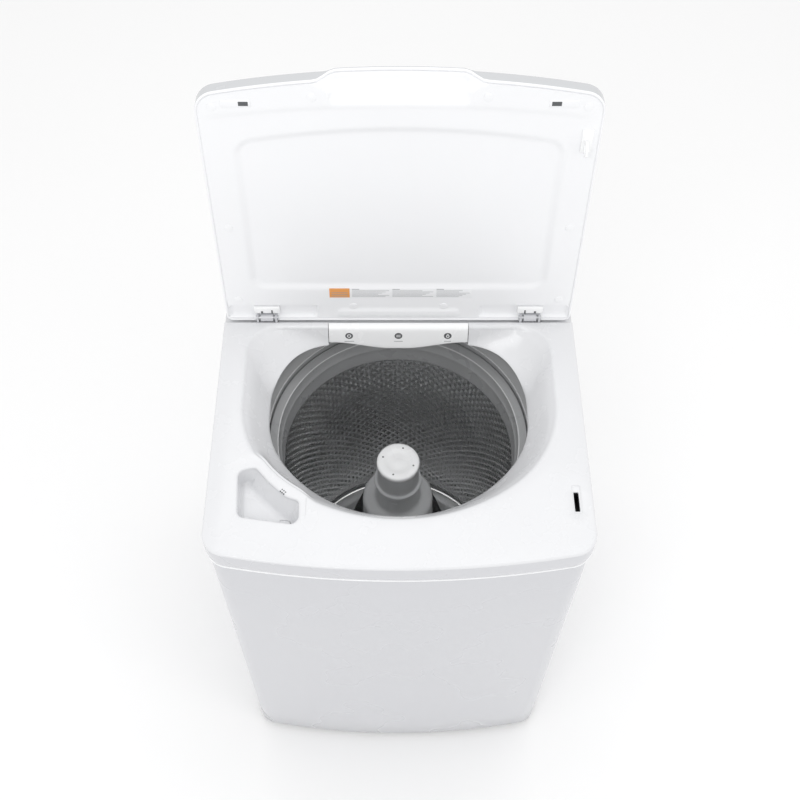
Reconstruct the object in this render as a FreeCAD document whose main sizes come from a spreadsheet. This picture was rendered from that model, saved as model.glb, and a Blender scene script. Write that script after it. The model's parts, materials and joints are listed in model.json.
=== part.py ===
"""Top load washing machine, modelled with its lid open.

Millimetres, +Z up, +X to the user's right, the front towards -Y.  The origin is on the floor, under
the middle of the machine.  Each sub-part is one labelled object, written to parts/LABEL.step.
"""
import FreeCAD, Part
import Sketcher
import math
import os

V = FreeCAD.Vector
doc = FreeCAD.newDocument("washer")

DIMENSIONS = (
    # case
    ("width", 680), ("depth", 700), ("deck_top", 982), ("deck_height", 50), ("floor_gap", 12),
    ("bow_radius", 1750), ("corner_radius", 45), ("case_inset", 5), ("back", 338),
    ("sheet", 1), ("shell", 3), ("foot_x", 288), ("foot_front", -262), ("foot_rear", 285),
    # console
    ("console_top", 1120), ("console_front", 229), ("console_run", 50), ("console_rise", 142),
    # trough behind the lid's edge
    ("trough_front", 174), ("trough_depth", 10),
    # opening in the deck
    ("opening_side", 290), ("opening_side_r", 220), ("opening_front_r", 340), ("opening_rear", 162),
    ("opening_rear_r", 62), ("throat_side", 246), ("throat_side_r", 172), ("throat_front_r", 263),
    ("throat_rear", 149), ("throat_rear_r", 124), ("throat_drop", 60),
    # lid
    ("lid_axis_y", 182.5), ("lid_axis_z", 986), ("lid_lean", 98), ("lid_thick", 30), ("lid_tail", 8),
    ("lid_draft", 1.5), ("lid_corner", 12),
    # drawer
    ("drawer_half", 136), ("drawer_low", 925), ("drawer_face", 148), ("drawer_face_top", 161),
    ("drawer_gap", 1.2), ("tray_high", 38),
    # tub and basket
    ("tub_y", -10), ("tub_outer", 279), ("tub_wall", 4), ("tub_floor", 213), ("tub_rim", 882),
    ("basket_outer", 238), ("basket_floor", 250), ("basket_rim", 806), ("ring_top", 858.5),
    ("shaft_r", 12.5), ("tube_outer", 20), ("fit", 0.05),
    # agitator
    ("agitator_foot", 268), ("agitator_skirt", 165), ("stem_r", 42.5), ("stem_top", 747),
    ("agitator_shoulder", 618), ("shoulder_r", 75),
    # drive
    ("motor_x", -150), ("motor_y", 75), ("belt_z", 76), ("pulley_r", 97), ("motor_pulley_r", 25),
    ("pump_x", 165), ("pump_y", -105),
    # suspension
    ("rod_x", 285), ("rod_y", 257), ("rod_r", 4), ("rod_low", 200), ("rod_high", 896), ("ear_z", 318),
)

sheet = doc.addObject("Spreadsheet::Sheet", "dims")
for row, (alias, number) in enumerate(DIMENSIONS, 1):
    sheet.set(f"A{row}", alias.replace("_", " "))
    sheet.set(f"B{row}", str(number))
    sheet.setAlias(f"B{row}", alias)
doc.recompute()


class Size:
    """A length in mm, with the sheet expression that it comes from."""

    def __init__(self, value, text):
        self.value = float(value)
        self.text = text

    def __add__(self, other):
        other = as_size(other)
        return Size(self.value + other.value, f"({self.text} + {other.text})")

    def __sub__(self, other):
        other = as_size(other)
        return Size(self.value - other.value, f"({self.text} - {other.text})")

    def __mul__(self, number):
        return Size(self.value * number, f"({self.text} * {number})")

    def __neg__(self):
        return Size(-self.value, f"(0 - {self.text})")

    def __radd__(self, number):
        return as_size(number) + self

    def __rsub__(self, number):
        return as_size(number) - self


def as_size(number):
    if isinstance(number, Size):
        return number
    return Size(number, f"({number})")


class Sheet:
    """Reads a cell of the spreadsheet by its alias, as a Size."""

    def __getattr__(self, alias):
        return Size(sheet.get(alias), f"dims.{alias}")


D = Sheet()
made = []


def bind(thing, name, size):
    """Sets a property and ties it to the sheet."""
    size = as_size(size)
    setattr(thing, name, size.value)
    thing.setExpression(name, size.text)


def place(thing, x=0, y=0, z=0, turn=None):
    """Puts an object at (x, y, z), tied to the sheet, after an optional turn (axis, degrees)."""
    spot = [as_size(v) for v in (x, y, z)]
    rotation = FreeCAD.Rotation(V(*turn[0]), turn[1]) if turn else FreeCAD.Rotation()
    thing.Placement = FreeCAD.Placement(V(*[v.value for v in spot]), rotation)
    for letter, size in zip("xyz", spot):
        thing.setExpression(f"Placement.Base.{letter}", size.text)
    return thing


def keep(thing, label):
    """Names a finished sub-part."""
    thing.Label = label
    made.append(thing)
    return thing


# ---- primitives and booleans

def box(x0, x1, y0, y1, z0, z1):
    low = [as_size(v) for v in (x0, y0, z0)]
    high = [as_size(v) for v in (x1, y1, z1)]
    block = doc.addObject("Part::Box", "block")
    for name, a, b in zip(("Length", "Width", "Height"), low, high):
        bind(block, name, b - a)
    return place(block, *low)


def cylinder(radius, height, x=0, y=0, z=0, turn=None):
    rod = doc.addObject("Part::Cylinder", "rod")
    bind(rod, "Radius", radius)
    bind(rod, "Height", height)
    return place(rod, x, y, z, turn)


ALONG_X = ((0, 1, 0), 90)
ALONG_Y = ((1, 0, 0), -90)


def fuse(*things):
    joined = doc.addObject("Part::MultiFuse", "joined")
    joined.Shapes = list(things)
    return joined


def cut(base, *tools):
    result = doc.addObject("Part::Cut", "trimmed")
    result.Base = base
    result.Tool = tools[0] if len(tools) == 1 else fuse(*tools)
    return result


def common(a, b):
    shared = doc.addObject("Part::Common", "shared")
    shared.Base = a
    shared.Tool = b
    return shared


def group(*things):
    """Several separate solids in one sub-part."""
    together = doc.addObject("Part::Compound", "together")
    together.Links = list(things)
    return together


def shaped(shape, placement=None):
    feature = doc.addObject("Part::Feature", "shell")
    feature.Shape = shape
    if placement:
        feature.Placement = placement
    return feature


# ---- bodies made from sketches

def body_part(label, x=0, y=0, z=0, turn=None):
    body = doc.addObject("PartDesign::Body", "body")
    place(body, x, y, z, turn)
    return keep(body, label)


def sketch_on(body, plane, height=0):
    sketch = body.newObject("Sketcher::SketchObject", "sketch")
    for feature in body.Origin.OriginFeatures:
        if feature.Role == plane:
            sketch.AttachmentSupport = [(feature, "")]
    sketch.MapMode = "FlatFace"
    if plane == "XY_Plane":
        size = as_size(height)
        sketch.AttachmentOffset = FreeCAD.Placement(V(0, 0, size.value), FreeCAD.Rotation())
        sketch.setExpression("AttachmentOffset.Base.z", size.text)
    return sketch


def pin_point(sketch, geo, pos, x, y):
    """Fixes a sketch point at (x, y) with dimensions tied to the sheet."""
    for kind, axis, size in (("DistanceX", -2, as_size(x)), ("DistanceY", -1, as_size(y))):
        if size.value == 0:
            sketch.addConstraint(Sketcher.Constraint("PointOnObject", geo, pos, axis))
            continue
        index = sketch.addConstraint(Sketcher.Constraint(kind, -1, 1, geo, pos, size.value))
        sketch.setExpression(f"Constraints[{index}]", size.text)


def polygon(sketch, points):
    first = sketch.GeometryCount
    spots = [V(as_size(x).value, as_size(y).value, 0) for x, y in points]
    count = len(spots)
    for i in range(count):
        sketch.addGeometry(Part.LineSegment(spots[i], spots[(i + 1) % count]), False)
    for i in range(count):
        after = first + (i + 1) % count
        sketch.addConstraint(Sketcher.Constraint("Coincident", first + i, 2, after, 1))
    for i, (x, y) in enumerate(points):
        pin_point(sketch, first + i, 1, x, y)


def circle(sketch, x, y, radius):
    x, y, radius = as_size(x), as_size(y), as_size(radius)
    shape = Part.Circle(V(x.value, y.value, 0), V(0, 0, 1), radius.value)
    geo = sketch.addGeometry(shape, False)
    pin_point(sketch, geo, 3, x, y)
    index = sketch.addConstraint(Sketcher.Constraint("Radius", geo, radius.value))
    sketch.setExpression(f"Constraints[{index}]", radius.text)


def turned(body, points, plane="XZ_Plane"):
    """Turns a profile of (radius, height) points about the body's Z axis."""
    sketch = sketch_on(body, plane)
    polygon(sketch, points)
    feature = body.newObject("PartDesign::Revolution", "turned")
    feature.Profile = sketch
    feature.ReferenceAxis = (sketch, ["V_Axis"])
    feature.Angle = 360
    return feature


def padded(body, sketch, length, middle=False):
    feature = body.newObject("PartDesign::Pad", "pad")
    feature.Profile = sketch
    bind(feature, "Length", length)
    feature.Midplane = middle
    return feature


def pocketed(body, sketch, length, upward=True):
    feature = body.newObject("PartDesign::Pocket", "pocket")
    feature.Profile = sketch
    bind(feature, "Length", length)
    feature.Reversed = upward
    return feature


def repeated(body, feature, count):
    pattern = body.newObject("PartDesign::PolarPattern", "repeat")
    pattern.Originals = [feature]
    sketch = feature.Profile[0]
    for origin_feature in body.Origin.OriginFeatures:
        if origin_feature.Role == "Z_Axis":
            pattern.Axis = (origin_feature, [""])
    pattern.Angle = 360
    pattern.Occurrences = count
    body.Tip = pattern
    sketch.Visibility = False
    return pattern


# ---- outlines that the case, deck and lid share

def mm(size):
    return as_size(size).value


def arc(a, b, c):
    return Part.Arc(a, b, c).toShape()


def arc_about(centre, radius, start, end):
    """An arc about centre between two directions in degrees, the shorter way."""
    def spot(angle):
        turn = math.radians(angle)
        return centre + V(math.cos(turn), math.sin(turn), 0) * radius
    return arc(spot(start), spot((start + end) / 2), spot(end))


def case_outline(inset, rear, rear_radius):
    """The case seen from above: a bowed front, rounded corners and straight sides."""
    half = mm(D.width) / 2 - inset
    radius = mm(D.corner_radius) - inset
    bow = mm(D.bow_radius) - inset
    bow_centre = V(0, mm(D.bow_radius) - mm(D.depth) / 2, 0)
    corner_x = half - radius
    corner_y = bow_centre.y - math.sqrt((bow - radius) ** 2 - corner_x ** 2)
    lean = math.degrees(math.atan2(corner_x, bow_centre.y - corner_y))
    rear_y = rear - rear_radius
    rear_x = half - rear_radius
    edges = [
        arc_about(bow_centre, bow, 270 - lean, 270 + lean),
        arc_about(V(corner_x, corner_y, 0), radius, 270 + lean, 360),
        Part.makeLine(V(half, corner_y, 0), V(half, rear_y, 0)),
        arc_about(V(rear_x, rear_y, 0), rear_radius, 0, 90),
        Part.makeLine(V(rear_x, rear, 0), V(-rear_x, rear, 0)),
        arc_about(V(-rear_x, rear_y, 0), rear_radius, 90, 180),
        Part.makeLine(V(-half, rear_y, 0), V(-half, corner_y, 0)),
        arc_about(V(-corner_x, corner_y, 0), radius, 180, 270 - lean),
    ]
    return Part.Wire(edges)


def prism(wire, low, high):
    face = Part.Face(wire)
    face.translate(V(0, 0, low))
    return face.extrude(V(0, 0, high - low))


def case_prism(inset, low, high, rear=None, rear_radius=6):
    rear = mm(D.back) if rear is None else rear
    return prism(case_outline(inset, rear, rear_radius), low, high)


def solid_box(x0, x1, y0, y1, z0, z1):
    return Part.makeBox(x1 - x0, y1 - y0, z1 - z0, V(x0, y0, z0))


def opening_outline(side, side_r, front_r, rear, rear_r, middle_y, height):
    """The opening seen from above: round in front, straight at the sides, rounded at the rear."""
    centre_x = side - side_r
    front_centre = V(0, middle_y + math.sqrt((front_r - side_r) ** 2 - centre_x ** 2), height)
    lean = math.degrees(math.atan2(centre_x, front_centre.y - middle_y))
    rear_x = side - rear_r
    rear_y = rear - rear_r
    edges = [
        arc_about(front_centre, front_r, 270 - lean, 270 + lean),
        arc_about(V(centre_x, middle_y, height), side_r, 270 + lean, 360),
        Part.makeLine(V(side, middle_y, height), V(side, rear_y, height)),
        arc_about(V(rear_x, rear_y, height), rear_r, 0, 90),
        Part.makeLine(V(rear_x, rear, height), V(-rear_x, rear, height)),
        arc_about(V(-rear_x, rear_y, height), rear_r, 90, 180),
        Part.makeLine(V(-side, rear_y, height), V(-side, middle_y, height)),
        arc_about(V(-centre_x, middle_y, height), side_r, 180, 270 - lean),
    ]
    return Part.Wire(edges)


def funnel(grow):
    """The tapering throat between the deck's edge and the tub, grown outwards by grow."""
    upper = opening_outline(mm(D.opening_side) + grow, mm(D.opening_side_r) + grow,
                            mm(D.opening_front_r) + grow, mm(D.opening_rear) + grow,
                            mm(D.opening_rear_r) + grow, mm(D.tub_y), mm(D.deck_top))
    lower = opening_outline(mm(D.throat_side) + grow, mm(D.throat_side_r) + grow,
                            mm(D.throat_front_r) + grow, mm(D.throat_rear) + grow,
                            mm(D.throat_rear_r) + grow, mm(D.tub_y), mm(D.deck_top - D.throat_drop))
    return Part.makeLoft([upper, lower], True, True)


# the hook's slot in the deck, as x0, x1, y0, y1
LOCK_SLOT = (305.5, 314.5, -240, -202)
# each well of the drawer, from left to right
WELLS = ((-128, -46), (-43, 43), (46, 128))
# one hinge, measured from the middle of the machine
EAR_X = (236, 272)
EAR_THICK = 4
KNUCKLE_X = (244, 268)
KNUCKLE_R = 8
PIN_R = 4
PIN_X = (234, 278)
# where the inlets, the drain and the cord pass through the back
INLET_X = (-190, -130)
DRAIN_Z = 860
CORD_X, CORD_Z = -265, 880
# the buttons and the knob on the console's face
BUTTON_X = (-250, -190)
CONTROL_ROW = 75

CUP_CORNERS = ((-264, -153), (-285, -162), (-280, -247), (-270, -254), (-191, -262),
               (-178, -250), (-180, -219), (-241, -176))


def cup_prism(grow, low, high):
    points = [V(x, y, 0) for x, y in CUP_CORNERS]
    wire = Part.makePolygon(points + points[:1])
    if grow:
        wire = wire.makeOffset2D(grow, 2)
    return prism(wire, low, high)


# ---- case

def make_case():
    low = mm(D.floor_gap)
    high = mm(D.deck_top - D.deck_height)
    inset = mm(D.case_inset)
    rear = mm(D.back) - mm(D.sheet)
    wrap = case_prism(inset, low, high, rear)
    wrap = wrap.cut(case_prism(inset + mm(D.sheet), low, high, rear - mm(D.sheet)))
    doorway = mm(D.width) / 2 - 34
    wrap = wrap.cut(solid_box(-doorway, doorway, 300, 400, low, high))
    keep(shaped(wrap), "cabinet_wrap")

    panel = box(-332, 332, D.back - D.sheet, D.back, D.floor_gap + 8, D.deck_top - D.deck_height - 1)
    outlet = cylinder(20, 30, D.pump_x, D.back - 15, DRAIN_Z, ALONG_Y)
    gland = cylinder(9, 30, CORD_X, D.back - 15, CORD_Z, ALONG_Y)
    keep(cut(panel, outlet, gland), "rear_panel")

    frame_top = low + 28
    inner = inset + mm(D.sheet)
    rear = rear - mm(D.sheet)
    rails = case_prism(inner, low, frame_top, rear)
    rails = rails.cut(case_prism(inner + 3, low + 3, frame_top, rear - 3))
    rails = rails.cut(case_prism(inner + 26, low, frame_top, rear - 26))
    for x in (-mm(D.foot_x), mm(D.foot_x)):
        for y in (mm(D.foot_front), mm(D.foot_rear)):
            rails = rails.fuse(solid_box(x - 30, x + 30, y - 30, y + 30, low, low + 4))
            rails = rails.fuse(Part.makeCylinder(14, frame_top - low, V(x, y, low)))
    rails = rails.common(case_prism(inner, low, frame_top, rear))
    for x in (-mm(D.foot_x), mm(D.foot_x)):
        for y in (mm(D.foot_front), mm(D.foot_rear)):
            rails = rails.cut(Part.makeCylinder(6 + mm(D.fit), 40, V(x, y, low - 5)))
    keep(shaped(rails.removeSplitter()), "base_frame")


def make_feet():
    corners = (("front_left", -D.foot_x, D.foot_front), ("front_right", D.foot_x, D.foot_front),
               ("rear_left", -D.foot_x, D.foot_rear), ("rear_right", D.foot_x, D.foot_rear))
    for name, x, y in corners:
        foot = body_part(f"foot_{name}", x, y, 0)
        turned(foot, [(0, 0), (21, 0), (23, 2), (23, 8), (16, 11), (6, 11), (6, 54), (0, 54)])


def make_corner_brackets():
    bay = shaped(case_prism(mm(D.case_inset + D.sheet), 884, 908, 330))
    plates = []
    for x in (-D.rod_x, D.rod_x):
        for y in (D.tub_y - D.rod_y, D.tub_y + D.rod_y):
            plate = box(x - 50, x + 50, y - 42, y + 42, 884, 890)
            hub = cylinder(16, 14, x, y, 884)
            seat = cylinder(10.5, 14, x, y, 892)
            hole = cylinder(D.rod_r + 2, 30, x, y, 880)
            plates.append(common(cut(fuse(plate, hub), seat, hole), bay))
    keep(group(*plates), "corner_brackets")


def make_rods():
    rods = []
    for x in (-D.rod_x, D.rod_x):
        for y in (D.tub_y - D.rod_y, D.tub_y + D.rod_y):
            rod = cylinder(D.rod_r, D.rod_high - D.rod_low, x, y, D.rod_low)
            seat = cylinder(18, 8, x, y, D.rod_low)
            head = cylinder(10, 12, x, y, 892.5)
            rods.append(fuse(rod, seat, head))
    keep(group(*rods), "suspension_rods")


# ---- deck

def make_deck():
    top = mm(D.deck_top)
    low = top - mm(D.deck_height)
    shell = mm(D.shell)
    front = mm(D.trough_front)
    trough = top - mm(D.trough_depth)
    rear = mm(D.back)
    deck = case_prism(0, low, top)
    cavity = case_prism(shell, low, top - shell, rear - shell)
    cavity = cavity.cut(solid_box(-400, 400, front - shell, 400, trough - shell, top))
    deck = deck.cut(cavity)
    deck = deck.cut(solid_box(-400, 400, front, 400, trough, top + 1))
    deck = deck.fuse(funnel(shell)).cut(funnel(0))
    drawer = mm(D.drawer_half + D.drawer_gap)
    deck = deck.cut(solid_box(-drawer, drawer, 120, front, top - 82, top + 1))
    deck = deck.cut(cup_prism(0.6, top - 10, top + 1))
    deck = deck.cut(solid_box(*LOCK_SLOT, top - 10, top + 1))
    deck = deck.cut(Part.makeCylinder(11, 30, V(-120, 300, top - 27)))
    deck = deck.cut(solid_box(120, 280, 270, 320, top - 27, top - 2))
    keep(shaped(deck.removeSplitter()), "top_deck")


def make_bleach_cup():
    top = mm(D.deck_top)
    cup = cup_prism(0, top - 42, top).cut(cup_prism(-3, top - 39, top + 1))
    keep(shaped(cup.removeSplitter()), "bleach_cup")


def make_lock():
    top = D.deck_top
    case = box(281, 329, -254, -186, top - 40, top - D.shell)
    slot = box(*LOCK_SLOT, top - 32, top)
    channel = box(285, 307, -224, -210, top - 15, top - 7)
    keep(cut(case, slot, channel), "lid_lock_housing")
    keep(box(288, 304, -223, -211, top - 14, top - 8), "lock_bolt")


def both_ways(sign, near, far):
    """The two x of something near to far from the middle, on the side that sign gives."""
    return sorted((sign * near, sign * far))


def make_hinge_brackets():
    brackets = []
    low = D.deck_top - D.trough_depth
    for sign in (-1, 1):
        ears = []
        for near in EAR_X:
            ears.append(box(*both_ways(sign, near, near + EAR_THICK), D.lid_axis_y - KNUCKLE_R,
                            D.lid_axis_y + KNUCKLE_R + 1, low, D.lid_axis_z + KNUCKLE_R))
        foot = box(*both_ways(sign, EAR_X[0], EAR_X[1] + EAR_THICK),
                   D.lid_axis_y - 5, D.lid_axis_y + 28, low, low + 3)
        bore = cylinder(PIN_R + D.fit, 60, both_ways(sign, 230, 290)[0], D.lid_axis_y, D.lid_axis_z,
                        ALONG_X)
        brackets.append(cut(fuse(foot, *ears), bore))
    keep(group(*brackets), "hinge_brackets")


# ---- lid, modelled closed and then swung open about its hinge

def lid_open():
    axis = V(0, mm(D.lid_axis_y), mm(D.lid_axis_z))
    turn = FreeCAD.Rotation(V(1, 0, 0), -mm(D.lid_lean))
    return FreeCAD.Placement(axis - turn.multVec(axis), turn)


def lid_part(shape, label):
    keep(shaped(shape.removeSplitter(), lid_open()), label)


def lid_solid(wall, low, high):
    """The lid's outside moved in by wall: its edge leans out towards the lid's top."""
    rear = mm(D.lid_axis_y + D.lid_tail) - wall
    base = mm(D.lid_axis_z) - 1
    wires = []
    for z in (low, high):
        lean = mm(D.lid_draft) * (1 - (z - base) / mm(D.lid_thick))
        wire = case_outline(mm(D.case_inset) + lean + wall, rear, mm(D.lid_corner) - wall)
        wire.translate(V(0, 0, z))
        wires.append(wire)
    return Part.makeLoft(wires, True, True)


def make_lid():
    low = mm(D.lid_axis_z) - 1
    high = low + mm(D.lid_thick)
    shell = mm(D.shell)
    axis_y = mm(D.lid_axis_y)
    outer = lid_solid(0, low, high)
    rim = [edge for edge in outer.Edges if edge.BoundBox.ZMin > high - 0.1]
    edge_round = 7
    outer = outer.makeFillet(edge_round, rim)
    outer = outer.cut(lid_solid(shell, low - 1, high - shell))
    notch = Part.makeCompound([solid_box(a, b, axis_y - 18, axis_y + 70, low - 5, high + 5)
                               for a, b in ((-284, -228), (228, 284))])
    lid_part(outer.cut(notch), "lid_outer_shell")

    floor = low + 1
    gap = 0.4
    inset = mm(D.case_inset + D.lid_draft) + shell + gap
    rear = axis_y + mm(D.lid_tail) - shell - gap
    liner = case_prism(inset, floor, floor + 18, rear, 8)
    liner = liner.cut(case_prism(inset + shell, floor + shell, floor + 19, rear - shell, 5))
    panel = (-274, 274, -240, 102)
    grip = (-108, 108, -325, -294)
    for (x0, x1, y0, y1), deep in ((panel, 5), (grip, 14)):
        pan = solid_box(x0 - shell, x1 + shell, y0 - shell, y1 + shell, floor, floor + deep + shell)
        liner = liner.fuse(pan)
        liner = liner.cut(solid_box(x0, x1, y0, y1, floor - 1, floor + deep))
    lid_part(liner.cut(notch), "lid_liner")

    pads = [solid_box(s * 266 - 25, s * 266 + 25, -304, -294, floor - 3, floor) for s in (-1, 1)]
    lid_part(Part.makeCompound(pads), "lid_bumpers")

    top = mm(D.deck_top)
    base = solid_box(300, 322, -246, -202, floor - 2.5, floor)
    hook = solid_box(307.5, 312.5, -229, -205, top - 22, floor - 2.5)
    hook = hook.cut(solid_box(307, 313, -224.5, -209.5, top - 17, top - 5))
    lid_part(base.fuse(hook), "lid_strike")

    arms = []
    pins = []
    for sign in (-1, 1):
        x0, x1 = both_ways(sign, *KNUCKLE_X)
        axis = V(x0, axis_y, mm(D.lid_axis_z))
        knuckle = Part.makeCylinder(KNUCKLE_R, x1 - x0, axis, V(1, 0, 0))
        reach = solid_box(x0, x1, axis_y - 40, axis_y, floor + 4, floor + 12)
        bore = Part.makeCylinder(PIN_R, x1 - x0, axis, V(1, 0, 0))
        arms.append(knuckle.fuse(reach).cut(bore))
        pin_low, pin_high = both_ways(sign, *PIN_X)
        pins.append(Part.makeCylinder(PIN_R, pin_high - pin_low, V(pin_low, axis.y, axis.z), V(1, 0, 0)))
    lid_part(Part.makeCompound(arms), "hinge_arms")
    lid_part(Part.makeCompound(pins), "hinge_pins")


def make_hinge_covers():
    covers = []
    top = D.deck_top
    for sign in (-1, 1):
        low, high = both_ways(sign, 232, 280)
        cover = box(low, high, D.lid_axis_y + 14, D.lid_axis_y + 31, top - 7, top + 6)
        hollow = box(low + 2, high - 2, D.lid_axis_y + 13, D.lid_axis_y + 29, top - 8, top + 4)
        covers.append(cut(cover, hollow))
    keep(group(*covers), "hinge_covers")


# ---- dispenser

def make_dispenser():
    half = D.drawer_half
    low = D.drawer_low
    back = D.trough_front - 2
    top = D.deck_top - 0.4
    block = side_prism([(D.drawer_face, low), (back, low), (back, top), (D.drawer_face_top, top)], half)
    tray = box(-half + 5, half - 5, back - 1, 325, low, low + D.tray_high)
    hollows = []
    for left, right in WELLS:
        hollows.append(box(left, right, D.trough_front + 2, 322, low + 3, low + D.tray_high + 17))
    keep(cut(fuse(block, tray), *hollows), "dispenser_drawer")

    case = box(-half - 4, half + 4, D.trough_front + 0.5, 334, low - 8, low + 44)
    bay = box(-half + 2, half - 2, D.trough_front, 330, low - 4, low + D.tray_high + 3)
    inlet = cylinder(6.5, 20, -120, 300, low + 30)
    spout = box(-60, 60, D.trough_front + 4, D.trough_front + 18, low - 15, low)
    keep(cut(case, bay, inlet, spout), "dispenser_housing")


# ---- console

def console_tilt():
    return math.degrees(math.atan2(mm(D.console_rise), mm(D.console_run)))


def on_console(body, x, along, out=0):
    """Stands a body on the console's sloping face: along mm up the slope, out mm off it."""
    tilt = math.radians(console_tilt())
    run, rise = math.cos(tilt), math.sin(tilt)
    place(body, x, D.console_front + (along * run - out * rise),
          D.deck_top - D.trough_depth + (along * rise + out * run), ((1, 0, 0), console_tilt()))
    return body


def console_profile(grow):
    """The console from the side, as (y, z), with the walls moved in by grow."""
    foot = D.deck_top - D.trough_depth
    slope = D.console_front + grow * 1.06
    return [(slope, foot), (D.back - grow, foot), (D.back - grow, D.console_top - 12),
            (D.back - 12, D.console_top - grow),
            (D.console_front + D.console_run + 16, D.console_top - grow),
            (slope + D.console_run, foot + D.console_rise)]


def side_prism(points, half):
    body = doc.addObject("PartDesign::Body", "prism")
    place(body)
    sketch = sketch_on(body, "YZ_Plane")
    polygon(sketch, points)
    padded(body, sketch, half * 2, True)
    return body


def face_box(x0, x1, along0, along1, out0, out1):
    """A box on the console's face, from its low corner."""
    return on_console(box(0, x1 - x0, 0, along1 - along0, 0, out1 - out0), x0, along0, out0)


def face_rod(x, along, radius, out0, out1):
    return on_console(cylinder(radius, out1 - out0), x, along, out0)


def make_console():
    half = D.width * 0.5 - 6
    outside = side_prism(console_profile(0), half)
    inside = side_prism(console_profile(3), half - 3)
    stubs = [cylinder(15, 20, x, D.back - 10, D.console_top - 70, ALONG_Y) for x in INLET_X]
    holes = [face_rod(0, CONTROL_ROW, 9, -15, 15), face_box(70, 290, 48, 104, -15, 15)]
    holes += [face_rod(x, CONTROL_ROW, 15, -15, 15) for x in BUTTON_X]
    keep(cut(outside, inside, *stubs, *holes), "console_shell")

    plate = face_box(-310, 310, 28, 122, 0.0, 2.5)
    openings = [face_rod(0, CONTROL_ROW, 9, -5, 8)]
    openings += [face_rod(x, CONTROL_ROW, 14.5, -5, 8) for x in BUTTON_X]
    keep(cut(plate, *openings), "console_panel")

    board = face_box(-90, 300, 40, 112, -34, -32.4)
    chips = [face_box(x, x + 26, 50, 76, -32.4, -24) for x in (-60, 30, 120)]
    keep(fuse(board, *chips), "control_board")


def make_knob():
    knob = on_console(body_part("control_knob"), 0, CONTROL_ROW)
    turned(knob, [(0, -12), (6, -12), (6, -2), (8, -2), (8, 3), (31, 3), (32, 5), (29, 19), (26, 21),
                  (0, 21)])
    sketch = sketch_on(knob, "XY_Plane", 8)
    polygon(sketch, [(31, -2), (34, -2), (34, 2), (31, 2)])
    padded(knob, sketch, 8)


def make_buttons():
    for label, x in zip(("power_button", "start_button"), BUTTON_X):
        button = on_console(body_part(label), x, CONTROL_ROW)
        turned(button, [(0, -8), (11, -8), (11, -1), (14, -1), (14, 5.4), (13, 6.4), (0, 6.4)])


# ---- water and electrics

def make_services():
    level = D.console_top - 70
    rear = D.back - D.shell - 4
    block = box(-205, -105, 294, rear, level - 22, level + 22)
    stubs = [cylinder(13.5, D.depth * 0.5 - rear, x, rear, level, ALONG_Y) for x in INLET_X]
    ports = [cylinder(9, 30, x, 330, level, ALONG_Y) for x in INLET_X]
    coils = [cylinder(13, 26, x + 5, 310, level + 22) for x in INLET_X]
    keep(cut(fuse(block, *stubs, *coils), *ports), "water_inlet_valve")

    start = D.drawer_low + 44
    reach = level - 22 - start
    keep(cut(cylinder(9, reach, -120, 300, start), cylinder(6.5, reach, -120, 300, start)), "inlet_hose")

    sensor = body_part("pressure_sensor", 215, 305, D.deck_top - 2)
    turned(sensor, [(0, -8), (24, -8), (24, 8), (10, 8), (10, 14), (5, 14), (5, 26), (0, 26)])

    flange = cylinder(14, 3, CORD_X, D.back, CORD_Z, ALONG_Y)
    sleeve = cylinder(8.8, 14, CORD_X, D.back - 11, CORD_Z, ALONG_Y)
    bore = cylinder(4.5, 20, CORD_X, D.back - 13, CORD_Z, ALONG_Y)
    keep(cut(fuse(flange, sleeve), bore), "cord_gland")

    collar = cylinder(26, 2, D.pump_x, D.back, DRAIN_Z, ALONG_Y)
    pipe = cylinder(14, 17, D.pump_x, D.back - 5, DRAIN_Z, ALONG_Y)
    inside = cylinder(11, 30, D.pump_x, D.back - 10, DRAIN_Z, ALONG_Y)
    keep(cut(fuse(collar, pipe), inside), "drain_outlet")


# ---- tub

def make_tub():
    wall = D.tub_outer
    inner = D.tub_outer - D.tub_wall
    low = D.tub_floor
    tub = body_part("outer_tub", 0, D.tub_y)
    turned(tub, [(26, low), (wall - 7, low), (wall, low + 7), (wall, D.tub_rim - 8),
                 (wall + 9, D.tub_rim - 8), (wall + 9, D.tub_rim), (inner, D.tub_rim),
                 (inner, low + 8), (wall - 8, low + 4), (26, low + 4)])
    drain = sketch_on(tub, "XY_Plane", low - 1)
    circle(drain, D.pump_x, D.pump_y - D.tub_y, 14)
    pocketed(tub, drain, 10)

    rim = D.tub_rim
    cover = body_part("tub_cover_ring", 0, D.tub_y)
    turned(cover, [(252.5, rim - 9.5), (255, rim - 12), (270, rim - 6), (275, rim), (wall + 9, rim),
                   (wall + 9, rim + 10), (270, rim + 10), (256, rim - 4), (253, rim - 6)])


def make_bearing_housing():
    tube = D.tube_outer + D.fit
    house = body_part("bearing_housing", 0, D.tub_y)
    turned(house, [(24, 130), (58, 130), (66, 150), (72, 196), (112, 204), (112, D.tub_floor),
                   (34, D.tub_floor), (34, 192), (26, 192), (26, 150), (34, 150), (34, 136), (24, 136)])
    races = []
    for z in (136, 192):
        ring = cut(cylinder(34, 14, 0, D.tub_y, z), cylinder(tube, 14, 0, D.tub_y, z))
        races.append(ring)
    keep(group(*races), "tub_bearings")
    seal = body_part("tub_seal", 0, D.tub_y)
    turned(seal, [(tube, 206.5), (33.5, 206.5), (33.5, 212.8), (25.8, 212.8), (25.8, 221), (tube, 221)])


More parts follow.
